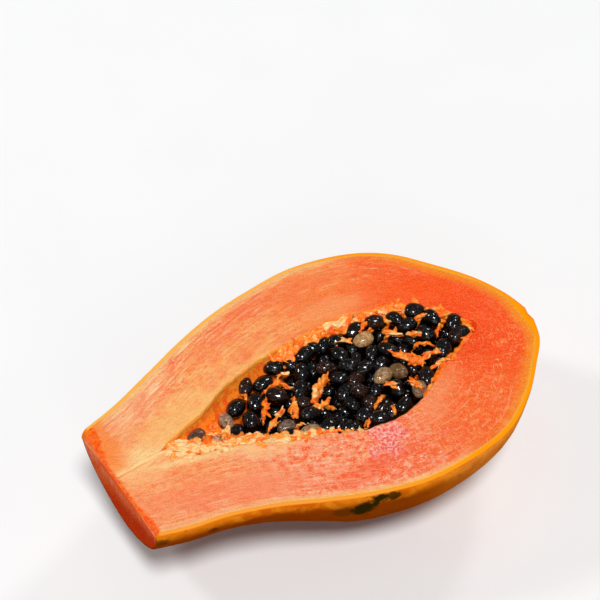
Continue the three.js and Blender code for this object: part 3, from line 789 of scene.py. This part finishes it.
def flake(middle, sizes, ahead, tone, draw):
    """One torn flake of pulp: its points, middle, mean size and tone."""
    ahead = np.asarray(ahead, float)
    ahead = ahead / max(np.linalg.norm(ahead), 1e-6)
    side = np.cross(ahead, [1.4 * (draw() - 0.5), 1.4 * (draw() - 0.5), 0.7])
    side /= np.linalg.norm(side)
    turned = np.array([ahead, side, np.cross(ahead, side)])
    shaped = BALL_POINTS * (1 + 0.5 * lattice_noise(BALL_POINTS * 1.3 + 40 * draw()))[:, None]
    return shaped * sizes @ turned + middle, np.asarray(middle, float), float(np.mean(sizes)), tone


def shake(draw, much):
    """A random step, at most half of much along each axis."""
    return much * (np.array([draw(), draw(), draw()]) - 0.5)


def shred(start, end, thick, tone, draw):
    """A torn strip of pulp from start to end: flakes of all sizes, paler towards the end."""
    start, end = np.array(start, float), np.array(end, float)
    run = end - start
    long = np.linalg.norm(run)
    count = max(5, round(long / (0.36 * thick)))
    made = []
    for i in range(count + 1):
        share = i / count
        middle = start + run * share + [0, 0, 0.5 * sin(pi * share)] + shake(draw, 0.9 * thick)
        girth = thick * (0.45 + 0.75 * draw()) * (0.6 + 0.4 * sin(pi * share))
        sizes = [girth * (1.1 + 1.2 * draw()), girth * (0.4 + 0.35 * draw()), girth * 0.34]
        paler = tone + 0.8 * (draw() - 0.5) + 0.3 * (share - 0.3)
        made.append(flake(middle, sizes, run + shake(draw, 1.3 * long), paler, draw))
    return made


def fringe(start, end, count, side, reach, drop, thick, tone, draw):
    """Flakes that hang from a rim of the hollow, from start to end along x: pale at the rim, darker below."""
    made = []
    for i in range(count):
        x = start + (end - start) * (i + draw()) / count
        far, near, _ = hollow_row(x)
        away = reach * draw() ** 1.2 - (0.5 if side < 0 else 0.0)
        y = near + away if side < 0 else far - away
        z = -0.65 - drop * away - 0.6 * draw()
        size = thick * (0.5 + 0.7 * draw())
        ahead = [4.0 * (draw() - 0.5), -side, -0.2 - 0.5 * draw()]
        sizes = [size * (0.9 + 1.0 * draw()), size * (0.45 + 0.35 * draw()), size * 0.27]
        if all(hypot(x - px, y - py) > 2.2 + 0.4 * size for px, py, *_ in PALE_SEEDS):
            paler = tone + 1.1 * (draw() - 0.5) - 0.1 * away
            made.append(flake([x, y, z], sizes, ahead, paler, draw))
    return made


FUSE_GRAIN, FUSE_RAGGED = 0.28, 0.15  # of flakes that grow together


def from_mesh(items, key):
    """Numbers of a mesh's vertices or normals, three in a row."""
    numbers = np.empty(len(items) * 3)
    items.foreach_get(key, numbers)
    return numbers.reshape(-1, 3)


def fused(flakes, seed):
    """Flakes grown together into one ragged piece: points, faces and how pale each point is."""
    _, middles, sizes, tones = zip(*flakes)
    rough = mesh_object("rough", *join_parts([(flake[0], BALL_FACES, 0) for flake in flakes]))
    grow = rough.modifiers.new("fuse", "REMESH")
    grow.mode = "VOXEL"
    grow.voxel_size = FUSE_GRAIN * MM
    soften = rough.modifiers.new("soften", "SMOOTH")
    soften.factor = 0.5
    soften.iterations = 3
    bpy.context.view_layer.update()
    whole = bpy.data.meshes.new_from_object(rough.evaluated_get(bpy.context.evaluated_depsgraph_get()))
    points = from_mesh(whole.vertices, "co") / MM - ORIGIN
    normals = from_mesh(whole.vertex_normals, "vector")
    faces = [tuple(f.vertices) for f in whole.polygons]
    bpy.data.objects.remove(rough)
    bpy.data.meshes.remove(whole)
    share = np.empty(len(points))
    for k in range(0, len(points), 4000):
        apart = np.linalg.norm(points[k:k + 4000, None] - np.array(middles), axis=2) / np.array(sizes)
        share[k:k + 4000] = np.array(tones)[apart.argmin(1)]
    points = points + normals * (FUSE_RAGGED * noise(points, 1.0, 3, seed))[:, None]
    return points, faces, {"share": np.clip(share, 0, 1)}


LINING_FROM, LINING_TO = 17.4, 130.6


def lining_mesh():
    """The hollow's soft lining, as a shell that fills the hollow's narrow tip."""
    x = np.concatenate([np.linspace(LINING_FROM, 50, 90), np.linspace(50, LINING_TO, 130)[1:]])
    far, near, depth = (v[:, None] for v in hollow_at(x))
    near_round, far_round = rim_rounds(x[:, None], far, near, depth)
    count = 60
    turns = np.linspace(0, pi, count)
    slope = (0.6 * smooth(20, 32, x) * smooth(96, 76, x))[:, None]

    def layer(distance):
        half = np.maximum((far - near) / 2 - distance, 0.1)
        z = hollow_wall(turns, near_round, far_round, np.maximum(depth - distance, 0.2), 0.1, 0.1)
        y = (far + near) / 2 + half * np.cos(turns)
        return grid(x, y - slope * np.clip(-z - 1.0, 0, 5) * smooth(0.3, 0.9, np.cos(turns)), z)

    inner = layer(-0.1 + 1.3 * smooth(0.0, 0.45, np.sin(turns)))
    bumps = noise(inner.reshape(-1, 3), 3.2, 3, 31).reshape(inner.shape[:2])
    inner[:, :, 1] -= 0.9 * np.maximum(bumps, -0.3) * np.cos(turns) * np.sin(turns)
    floor = np.interp(x, PULP_FLOOR[:, 0], PULP_FLOOR[:, 1])[:, None]
    inner[:, :, 2] = np.maximum(inner[:, :, 2], floor) + 0.6 * bumps * np.sin(turns)
    points = np.concatenate([layer(-0.15), inner[:, ::-1]], 1).reshape(-1, 3)
    total, last = 2 * count, len(points) - 2 * count
    faces = loop_faces(len(x), total) + [range(total), range(len(points) - 1, last - 1, -1)]
    pale = smooth(-3.5, -1.0, points[:, 2]) * smooth(40, 22, points[:, 0]) * smooth(1.5, -1.0, points[:, 1])
    return points, faces, {"share": pale}


# ---- finishes ----

# Parts of the cut face that differ from the flesh round them, as ragged ovals: the middle's x and y,
# the reach each way, the turn in degrees, the strength and the colour
PATCHES = [
    [25, 9.5, 17, 5, 20, 0.6, (254, 200, 134)], [9, -6, 9, 3.5, 6, 0.45, (254, 204, 156)],
    [17, 22, 18, 5, 32, 0.4, (254, 188, 156)], [56, 36, 16, 4.5, 26, 0.45, (251, 112, 74)],
    [71, -37, 11, 4, 6, 0.5, (252, 92, 56)], [84, 42, 19, 4, 0, 0.45, (251, 100, 62)],
    [94, 29, 12, 4, -8, 0.4, (254, 186, 138)], [106, -20, 13, 4.5, 40, 0.45, (254, 166, 132)],
    [45, -14.5, 8, 2.6, -20, 0.55, (255, 210, 168)], [85, 22, 9, 3, -6, 0.45, (250, 116, 40)],
    [83, -34.5, 9, 3.2, 6, 0.5, (250, 96, 66)], [40, -24, 9, 4, -16, 0.4, (255, 172, 144)],
    [127, -7, 6, 5, 0, 0.45, (238, 60, 8)], [126, 23, 9, 4, -20, 0.5, (255, 84, 8)],
    [133, -24, 6, 4, 50, 0.4, (254, 96, 30)], [9.7, 11.2, 8, 4, 10, 0.3, (252, 150, 84)],
    [61, 26, 8, 3, 26, 0.4, (251, 128, 84)],
]


def flesh_finish():
    n = Nodes("flesh")
    x, y, z = n.x, n.y, n.z
    peel, rim, wall, rolled = (n.attribute(name) for name in ("peel", "rim", "wall", "rolled"))
    blotch = n.noise(0.2, 3, 0.55)
    mottle = n.noise(0.7, 3, 0.55, 0.0, n.stretched((0.55, 1.0, 1.0), 12))
    cells = n.noise(0.42, 4, 0.6)
    flecks = n.noise(0.95, 4, 0.65)
    fine = n.noise(2.2, 2, 0.6)
    wobble = n.wobble = (blotch - 0.5) * 1.4
    shifted = x + wobble * 26.0

    # broad colours: peach at the stem, pinker in the belly, red-orange towards the blossom end
    near_color = n.ramp(shifted, (252, 158, 108), (26, 62, (251, 146, 116)), (62, 88, (251, 106, 76)),
                        (88, 110, (252, 98, 34)))
    far_color = n.ramp(shifted, (252, 178, 142), (10, 40, (253, 170, 104)), (48, 82, (252, 156, 94)),
                       (94, 116, (253, 92, 24)))
    far_side = n.rise(y + wobble * 5.0, -4, 2)
    near_side = 1.0 - far_side
    n.color = n.mix(far_side, near_color, far_color)

    # soft mottling everywhere, and larger cells in the near belly
    n.paint(n.rise(n.noise(0.07, 3, 0.6), 0.54, 0.64, 0.0, 0.3), (251, 112, 62))
    softer = n.rise(x, 70, 100, 1.0, 0.5)
    n.paint(softer * n.rise(mottle, 0.5, 0.68, 0.0, 0.45), (254, 190, 156))
    n.paint(softer * n.rise(mottle, 0.5, 0.34, 0.0, 0.5), (253, 112, 40))
    belly = n.rise(x, 30, 60) * n.rise(x, 108, 90) * near_side
    n.paint(belly * n.rise(cells, 0.5, 0.58, 0.0, 0.7), (255, 176, 164))
    # the pinkish-white flecks of the belly: partly pale flecks of the flesh, partly painted sheen of the wet
    # surface
    n.paint(belly * n.rise(flecks, 0.54, 0.64, 0.0, 0.85), (255, 214, 204))
    n.paint(belly * n.rise(cells, 0.47, 0.39, 0.0, 0.95), (253, 84, 20))
    far_belly = far_side * n.rise(x, 100, 70)
    n.paint(far_belly * n.rise(blotch, 0.52, 0.6, 0.0, 0.4), (251, 124, 88))
    n.paint(far_belly * n.rise(blotch, 0.47, 0.4, 0.0, 0.5), (254, 190, 130))

    # streaks that follow the skin: pink and cream, strongest beside the far skin of the neck; the near-white
    # streaks are partly pale fibres and partly painted highlights on the wet fibres
    streaks = n.noise(1.0, 4, 0.62, 0.3, n.combine(x * 0.13, peel * 1.2, 3.0))
    band = n.rise(peel, 12, 4) * n.rise(x, 92, 52) * (far_side * 0.45 + 0.25) + 0.3
    n.paint(band * n.rise(streaks, 0.52, 0.4), (250, 116, 92))
    # near-white streaks: partly painted highlights
    n.paint(band * n.rise(streaks, 0.53, 0.64), (255, 226, 206))

    # saturated red-orange round the blossom end, with pale rays on its near side
    hot = n.most(n.region(124, 13, 22, 16, -12), n.region(133, -8, 17, 14))
    n.paint(hot * n.rise(fine, 0.7, 0.4, 0.6, 0.95), (255, 66, 4))
    n.paint(n.region(106, 27, 28, 6.5, -16) * 0.7, (254, 92, 26))
    turn = n.math("ARCTAN2", y, x - 92.0)
    rays = n.noise(1.0, 3, 0.6, 0.2, n.combine(turn * 42.0, rim * 0.24, 8.0))
    dash = n.noise(1.0, 2, 0.5, 0.0, n.stretched((1.5, 0.4, 1.0), 12, 30))
    right_near = n.rise(x, 80, 100) * n.rise(y, 4, -6)
    n.paint(right_near * n.rise(rays, 0.52, 0.66, 0.0, 0.55), (254, 154, 92))
    n.paint(right_near * n.rise(rays, 0.48, 0.38, 0.0, 0.6), (253, 84, 22))
    # pale dashes: fibres of the flesh with painted glints of their wet surface
    n.paint(right_near * n.rise(dash, 0.6, 0.7, 0.0, 0.6), (255, 200, 150))
    fibres = abs(n.noise(0.16, 1, 0.5, 0.6) - 0.5)
    n.paint(n.rise(fibres, 0.008, 0.0, 0.0, 0.8) * n.region(88, -28, 20, 8), (255, 204, 164))

    # fine grain of the wet cut, its pale specks partly painted sparkle of the wet surface
    n.paint(n.rise(fine, 0.52, 0.7, 0.0, 0.5), n.ramp(x, (255, 216, 182), (50, 100, (255, 180, 110))))
    n.paint(n.rise(fine, 0.46, 0.3, 0.0, 0.45), (246, 96, 40))

    # pale rim of the hollow and pale wedge at its tip, with the crease that runs on from it
    pale_rim = far_side * n.rise(rim + wobble * 3.0, 1.0, 5.0, 0.6, 0.0)
    n.paint(pale_rim * n.rise(x, 56, 76, 1.0, 0.0), (253, 190, 128))
    for *oval, strength, color in PATCHES:
        n.paint(n.region(*oval) * strength, color)
    wedge = n.most(n.region(9, -0.4, 12, 3.6, 6), n.region(27, -7.4, 18, 1.7, -11))
    n.paint(wedge * n.rise(streaks + fine, 0.85, 1.1, 0.6, 1.0) * 0.8, (255, 222, 174))
    n.paint(n.region(50, -13.4, 14, 1.1, -22) * 0.6, (254, 196, 150))
    crease = y - x * 0.125 + 3.3
    n.paint(n.rise(abs(crease), 0.45, 0.0, 0.0, 0.6) * n.rise(x, 15, 9), (244, 140, 62))
    n.paint(n.rise(abs(crease - 0.9), 0.8, 0.0, 0.0, 0.8) * n.rise(x, 19, 13), (255, 226, 178))

    # pale glints of juice by the skin of the neck
    n.paint(n.rise(flecks, 0.6, 0.66) * n.rise(peel, 12, 3) * n.rise(x, 80, 40) * 0.7, (255, 228, 208))

    # pink along the near skin of the neck, and the bruise by the near rim
    n.paint(n.region(28, -23.5, 28, 5.5, -16) * 0.5, (252, 132, 108))
    bruise = n.ramp(flecks, (244, 84, 104), (0.44, 0.56, (255, 194, 206)))
    n.paint(n.region(84.5, -27.5, 6, 6.6, 0, wobble * 2.8) * n.rise(fine, 0.36, 0.56, 0.45, 0.95), bruise)

    # towards the skin the flesh turns yellow
    ragged = peel + wobble * 1.8
    near_neck = near_side * n.rise(x, 60, 30)
    skin_band = n.mix(near_neck, (255, 210, 158), (253, 190, 156))
    n.paint(n.rise(ragged, 0.4, 3.2, 0.6, 0.0) * n.rise(x, 112, 96), skin_band)
    n.paint(n.rise(ragged, 0.5, 5.0, 0.8, 0.0) * n.rise(x, 100, 136), (254, 156, 36))
    paler = n.most(near_neck, far_side * n.rise(x, 112, 84))
    n.paint(n.rise(peel, 0.1, 1.1, 0.8, 0.0), n.mix(paler, (255, 190, 72), (254, 192, 130)))

    # wall of the hollow: bright orange below the rim, then red-orange, partly painted light and shade:
    # brighter as painted glow of light through the flesh near the rim, deeper red-orange as painted shade
    # lower in the hollow; its paler specks are painted orange-yellow highlights
    wall_glow_and_shade = n.ramp(z + wobble * 1.5, (255, 106, 10), (-6.0, -2.2, (255, 164, 62)))
    wall_glow_and_shade = n.mix(n.rise(fine, 0.5, 0.66, 0.0, 0.5), wall_glow_and_shade, (255, 180, 90))
    n.paint(wall, n.ramp(x, wall_glow_and_shade, (116, 127, (255, 80, 6)), (26, 17, (255, 176, 84))))

    # the edge rolled over at the trim, its orange partly the flesh's own and partly painted light shining
    # through the thin edge, and the orange flesh beside it
    n.paint(n.rise(x + wobble * 4.0, 2.5, 9.0, 0.75, 0.0) * n.rise(y, -3, 1), (252, 134, 50))
    n.paint(rolled * (1.0 - wall), n.ramp(mottle, (253, 84, 0), (0.42, 0.6, (254, 122, 14))))

    n.deepen(0.98, 0.92, 0.68)
    normal = n.bump(mottle * 0.5 + fine * 0.5 + streaks * 0.4, 0.9, 0.9)
    soft = wall * 0.15 + 0.12, (1.0, 0.4, 0.1), 0.004
    return n.finish(n.rise(mottle + fine, 0.8, 1.2, 0.18, 0.44), normal, soft,
                    Specular_IOR_Level=0.34, Specular_Tint=(1.0, 0.8, 0.6, 1.0))


def trim_finish():
    """The trimmed face: fibrous, darker than the cut, partly as painted shade, lighter towards its top as
    painted light and darker towards its foot as painted shade, with a painted greyish-pink sheen in its
    middle.
    """
    n = Nodes("trimmed flesh")
    z = n.z
    cloud = n.noise(0.25, 4, 0.65, 1.0)
    fine = n.noise(1.6, 3, 0.6)
    drag = n.noise(1.0, 4, 0.6, 0.5, n.stretched((1, 0.5, 0.16)))
    n.color = n.ramp(cloud, (216, 74, 14), (0.4, 0.6, (210, 96, 36)))
    # painted sheen: greyish-pink in the middle of the face
    n.paint(n.rise(drag, 0.46, 0.6) * n.rise(z, -14, -4) * 0.75, (226, 140, 116))
    # painted light: lighter towards the top of the face
    n.paint(n.rise(z, -12, -3, 0.0, 0.4), (238, 128, 84))
    n.paint(n.rise(fine, 0.52, 0.68, 0.0, 0.6), (242, 160, 124))
    n.paint(n.rise(fine, 0.46, 0.32, 0.0, 0.5), (160, 40, 0))
    # painted shade: darker towards the foot of the face
    n.paint(n.rise(z + n.y * 0.4, -19, -8, 1.0, 0.0) * 0.75, (180, 36, 0))
    # the rolled edge: orange, partly painted light shining through the thin edge
    n.paint(n.attribute("rolled") * n.rise(z, -5.5, -1.6), (252, 92, 4))
    n.deepen(1.0, 0.88, 0.85)
    normal = n.bump(drag * 0.6 + fine * 0.4, 0.9, 0.9)
    soft = 0.1, (1.0, 0.3, 0.1), 0.002
    return n.finish(n.rise(cloud, 0.4, 0.6, 0.5, 0.75), normal, soft, Specular_IOR_Level=0.0)


# Dark spots of the peel: x, y, z, size and strength
BLEMISHES = [
    [76, -46.5, -2.6, 2.6, 0.9], [71.4, -46, -3.2, 3.4, 1.0], [66.4, -44.4, -7.4, 4.2, 1.0],
    [60, -42, -8, 3.6, 0.5], [20.7, -30, -6, 2.0, 0.6], [4.3, -28.5, -5, 2.4, 0.6],
    [110, 34, -22, 3.2, 0.85], [62, 38, -24, 4.5, 0.8], [34, 22, -22, 2.6, 0.8],
    [92, 12, -43, 3.6, 0.75], [128, -18, -24, 2.4, 0.8],
]


def skin_finish():
    n = Nodes("skin")
    x, z = n.x, n.z
    broad = n.noise(0.05, 3, 0.6, 0.5)
    cloud = n.noise(0.16, 4, 0.6, 0.5)
    speck = n.noise(1.2, 3, 0.6)
    n.color = n.ramp(broad, (232, 130, 22), (0.42, 0.58, (216, 104, 14)))
    n.paint(n.rise(cloud, 0.5, 0.64, 0.0, 0.7), (240, 148, 34))
    n.paint(n.rise(speck, 0.54, 0.7, 0.0, 0.4), (196, 90, 0))
    n.paint(n.rise(x, 84, 112, 0.0, 0.5), (250, 166, 78))
    # brown scuffs and dark sunken spots all over the outside
    scuff = n.noise(0.34, 5, 0.7, 1.5, n.stretched((0.8, 1, 1), 20, 50))
    n.paint(n.rise(scuff, 0.6, 0.68) * 0.6, (150, 76, 18))
    ragged = (n.noise(0.35, 3, 0.55, 0.4) - 0.5) * 2.0
    spots = 0.0
    for *middle, size, strength in BLEMISHES:
        apart = n.node("VectorMath", {0: n.xyz, 1: middle}, "Value", operation="DISTANCE")
        spots = n.most(spots, n.rise(apart / size + ragged, 0.55, 1.25, strength, 0.0))
    # painted shade: the skin darkens towards its underside, less towards the blossom end
    under = n.rise(z + (cloud - 0.5) * 5.0, -0.8, -7) * n.rise(x, 78, 116, 0.92, 0.4)
    n.paint(under, (122, 48, 0))
    n.paint(spots, (44, 34, 6))
    # the lighter band along the skin's cut edge: partly its own colour, partly painted light on its top
    edge_band_and_light = n.ramp(x, (243, 158, 62), (60, 110, (255, 156, 10)))
    edge_band_and_light = n.mix(n.rise(n.y, 0, 6) * n.rise(x, 110, 80), edge_band_and_light, (252, 180, 84))
    n.paint(n.rise(z, -0.6, -0.05), edge_band_and_light)
    n.paint(n.region(SCAR_RIM[0], SCAR_BEND, 1.6, 2.4) * 0.3, (220, 140, 20))
    n.deepen(1.0, 0.92, 0.7)
    normal = n.bump(n.noise(4.0, 2, 0.5) * 0.25 + speck * 0.5 - spots, 0.3, 0.5)
    return n.finish(n.rise(cloud + spots * 0.5, 0.35, 0.8, 0.32, 0.58), normal, Specular_IOR_Level=0.0)


def pulp_finish(name, paler):
    """Soft wet tissue: orange where it is thick and low, cream on its fibres and tips, the cream partly the
    tissue's own and partly painted highlight.
    """
    n = Nodes(name)
    fibre = n.noise(1.0, 4, 0.6, 0.0, n.stretched((0.6, 1.6, 1.2), 25))
    fine = n.noise(2.6, 3, 0.6)
    lit = n.attribute("share") + paler + (fibre - 0.5) * 1.8
    n.color = n.ramp(n.noise(0.5, 4, 0.6), (255, 88, 0), (0.42, 0.58, (255, 134, 20)))
    n.color = n.ramp(lit, n.color, (0.25, 0.75, (255, 156, 48)), (0.65, 1.05, (255, 210, 150)))
    n.paint(n.rise(fine, 0.52, 0.68, 0.0, 0.3), (255, 206, 140))
    normal = n.bump(fibre * 0.6 + fine * 0.4, 0.4, 0.5)
    soft = 0.4, (1.0, 0.8, 0.6), 0.0005
    return n.finish(n.rise(fine, 0.35, 0.65, 0.16, 0.36), normal, soft,
                    Specular_IOR_Level=0.4, Specular_Tint=(1.0, 0.85, 0.7, 1.0))


def seeds_finish():
    n = Nodes("seeds")
    tone = n.attribute("tone")
    cloud = n.noise(0.5, 4, 0.6, 0.8)
    wrinkle = n.noise(1.1, 4, 0.62, 1.6)
    n.color = n.ramp(cloud, (2, 1, 1), (0.4, 0.62, (8, 5, 5)))
    n.paint(n.rise(tone, 0.76, 0.9) * n.rise(wrinkle, 0.46, 0.6), (64, 30, 14))
    n.paint(n.rise(tone, 0.92, 0.95) * n.rise(cloud, 0.4, 0.6, 0.4, 0.9), (132, 98, 60))
    normal = n.bump(wrinkle * 0.8 + cloud * 0.4, 0.6, 0.5)
    return n.finish(n.rise(wrinkle, 0.35, 0.65, 0.1, 0.2), normal, Coat_Weight=0.9, Coat_Roughness=0.06,
                    Specular_IOR_Level=0.1)


# Shell, lighter patches and how strongly striped, of each pale seed
PALE_COLOURS = [
    [(66, 32, 16), (104, 58, 34), 0.2], [(216, 146, 112), (240, 186, 152), 0.7],
    [(132, 88, 58), (182, 140, 104), 0.9], [(62, 42, 32), (120, 92, 70), 0.5],
    [(146, 104, 66), (196, 152, 104), 0.6], [(176, 124, 64), (220, 170, 104), 0.5],
    [(132, 92, 48), (190, 146, 90), 0.7], [(100, 68, 42), (160, 120, 80), 0.8],
]


def pale_seed_finish(name, shell, light, stripes):
    n = Nodes(name)
    cloud = n.noise(0.6, 4, 0.65, 0.8)
    wrinkle = n.noise(1.0, 4, 0.6, 1.2, n.stretched((0.8, 2.0, 2.0), 15))
    n.color = n.ramp(cloud, shell, (0.4, 0.6, light))
    n.paint(n.rise(wrinkle, 0.52, 0.64, 0.0, stripes), (232, 206, 180))
    n.paint(n.rise(wrinkle, 0.45, 0.34, 0.0, 0.7), (70, 44, 28))
    soft = 0.25, (1.0, 0.6, 0.4), 0.002
    return n.finish(0.3, n.bump(wrinkle + cloud * 0.5, 1.0, 0.9), soft, Coat_Weight=0.6, Coat_Roughness=0.08)


def floor_finish():
    n = Nodes("floor")
    n.color = n.mix(n.noise(0.02, 2, 0.5), (236, 236, 236), (240, 240, 240))
    return n.finish(0.7)


# ---- the pieces ----

*mesh, on_trim = flesh_mesh()
piece("papaya_flesh", "flesh", "flesh", (flesh_finish(), trim_finish()), *mesh, on_trim)
piece("papaya_skin", "skin", "skin", [skin_finish()], *skin_mesh())
piece("papaya_pulp_lining", "pulp", "pulp", [pulp_finish("pulp lining", 0.0)], *lining_mesh())

draw = draws(53)
torn = []
for *ends, thick in STRANDS:
    line = strand_line(*ends) - [0, 0, STRAND_SINK]
    for start, end in zip(line, line[1:]):
        torn += shred(start, end, thick * STRAND_GIRTH, STRAND_TONE, draw)
for *ends, thick, tone in SHREDS:
    torn += shred(ends[:3], ends[3:], thick, tone, draw)
piece("papaya_pulp_strands", "pulp", "pulp", [pulp_finish("pulp strands", 0.0)], *fused(torn, 41))

crumb_places = crumbs()
crumbled = []
for *middle, size, spin in crumb_places:
    ahead = [cos(spin), sin(spin), 0.2]
    crumbled.append(flake(middle, size * CRUMB_SHAPE, ahead, 0.3 + 0.5 * draw(), draw))
for row in FRINGES:
    crumbled += fringe(*row, draw)
piece("papaya_pulp_crumbs", "pulp", "pulp", [pulp_finish("pulp crumbs", 0.25)], *fused(crumbled, 42))

# x, y, z and radius of what the seeds of the heap keep clear of
obstacles = [[x, y, z, 2.5] for x, y, z, _, _ in PALE_SEEDS]
obstacles += [crumb[:4] for crumb in crumb_places]
obstacles += [[x, y, heap_top(x), GRIP] for x, y, _ in EDGE_SEEDS]
for *ends, thick in STRANDS:
    obstacles += [[*p, thick * 0.7] for p in strand_line(*ends).tolist()]
edge_seeds = [[x, y, heap_top(x), radians(a), 0, 1] for x, y, a in EDGE_SEEDS]
parts = []
draw = draws(77)
for i, (x, y, z, heading, pitch, size) in enumerate(heap_of_seeds(obstacles) + edge_seeds):
    shape, shape_faces = seed_shape(*HEAP_MESH, 100 + i)
    tone = 0.9 * draw()
    if any(hypot(x - px, y - py) < DRIED_REACH for px, py in DRIED):
        tone = 1.0
    sizes = size * np.array([1.0 + 0.16 * draw(), 0.92 + 0.12 * draw(), 0.92 + 0.1 * draw()])
    parts.append((turned_seed(shape, x, y, z, heading, pitch, sizes), shape_faces, tone))
# the seeds beneath, layer on layer down to the lining
for layer in range(1, BELOW_LAYERS + 1):
    for row, x in enumerate(np.arange(BELOW_FROM + BELOW_LATER * layer, BELOW_TO, BELOW_ROW).tolist()):
        far, near, deep = hollow_row(x)
        y = near + BELOW_MARGIN + (row % 2) * BELOW_STAGGER
        while y < far - BELOW_MARGIN:
            z = heap_top(x) - 0.9 - BELOW_APART * layer
            across = (y - (far + near) / 2) / ((far - near) / 2 - 3.2)
            seed = [x + 1.6 * (draw() - 0.5), y + 1.6 * (draw() - 0.5), z + 1.2 * (draw() - 0.5),
                    pi * draw(), 0.9 * (draw() - 0.5), 0.9 + 0.1 * draw()]
            if across**2 + (-z / (deep - 3.0)) ** 2 < 1:
                shape, shape_faces = seed_shape(*BELOW_MESH, 200 + len(parts))
                parts.append((turned_seed(shape, *seed), shape_faces, 0.4))
            y += BELOW_STEP
piece("papaya_seeds", "seeds", "seeds", [seeds_finish()], *join_parts(parts))

for i, (x, y, z, heading, size) in enumerate(PALE_SEEDS):
    shape, shape_faces = seed_shape(*PALE_MESH, 300 + i)
    points = turned_seed(shape, x, y, z, radians(heading), 0, PALE_SHAPE * size)
    finish = pale_seed_finish(f"pale seed {i + 1}", *PALE_COLOURS[i])
    piece(f"papaya_pale_seed_{i + 1}", "pale_seeds", f"pale_seed_{i + 1}", [finish], points, shape_faces)


# ---- floor, light and camera ----

ground = bpy.data.meshes.new("floor")
ground.from_pydata([(-3, -3, 0), (3, -3, 0), (3, 3, 0), (-3, 3, 0)], [], [(0, 1, 2, 3)])
ground.materials.append(floor_finish())
floor = in_scene("floor", ground)

world = bpy.data.worlds.new("studio")
world.use_nodes = True
sky = world.node_tree.nodes["Background"].inputs
sky["Color"].default_value = (0.97, 0.985, 1.0, 1)
sky["Strength"].default_value = 0.14
bpy.context.scene.world = world


LAMP_DISTANCE, LAMP_AIM = 1.2, Vector((0, 0, 0.03))  # in metres


def lamp(name, kind, energy, towards, size):
    """A light that shines from a direction onto the fruit."""
    light = bpy.data.lights.new(name, kind)
    light.energy = energy
    if kind == "SUN":
        light.angle = size
    else:
        light.size = size
    made = in_scene(name, light)
    direction = Vector(towards).normalized()
    made.location = direction * LAMP_DISTANCE + LAMP_AIM
    made.rotation_euler = direction.to_track_quat("Z", "Y").to_euler()


lamp("sun", "SUN", 2.5, (-0.1, -0.4, 0.91), radians(13))
lamp("front", "AREA", 1.1, (-0.3, -0.8, 0.5), 0.5)
lamp("back left", "AREA", 2.6, (-0.55, 0.45, 0.7), 0.16)
lamp("back right", "AREA", 1.8, (0.6, 0.35, 0.72), 0.16)

# The view looks down on the half from its near side, with the stem end to the left
VIEW_POINT = np.array([73.24, -0.85, 0.0])
VIEW_BACK = Vector((-0.288, -0.544, 0.788)).normalized()
VIEW_DISTANCE = 0.652
VIEW_LENS = 120.0  # for a picture as wide as a 36 mm sensor
FOCAL_PIXELS = 2000.0
POINT_OFF_CENTRE = (20.0, 90.0)  # pixels right of and below the picture's centre
right = Vector((0.884, -0.468, 0)).normalized()
up = VIEW_BACK.cross(right)
ahead = (-VIEW_BACK * FOCAL_PIXELS - right * POINT_OFF_CENTRE[0] + up * POINT_OFF_CENTRE[1]).normalized()
view = bpy.data.cameras.new("camera")
view.lens = VIEW_LENS
view.sensor_width = 36.0
view.clip_end = 20
camera = in_scene("camera", view)
camera.location = Vector((VIEW_POINT + ORIGIN) * MM) + VIEW_BACK * VIEW_DISTANCE
camera.rotation_euler = ahead.to_track_quat("-Z", "Y").to_euler()
bpy.context.scene.camera = camera
bpy.context.scene.view_settings.view_transform = "Standard"
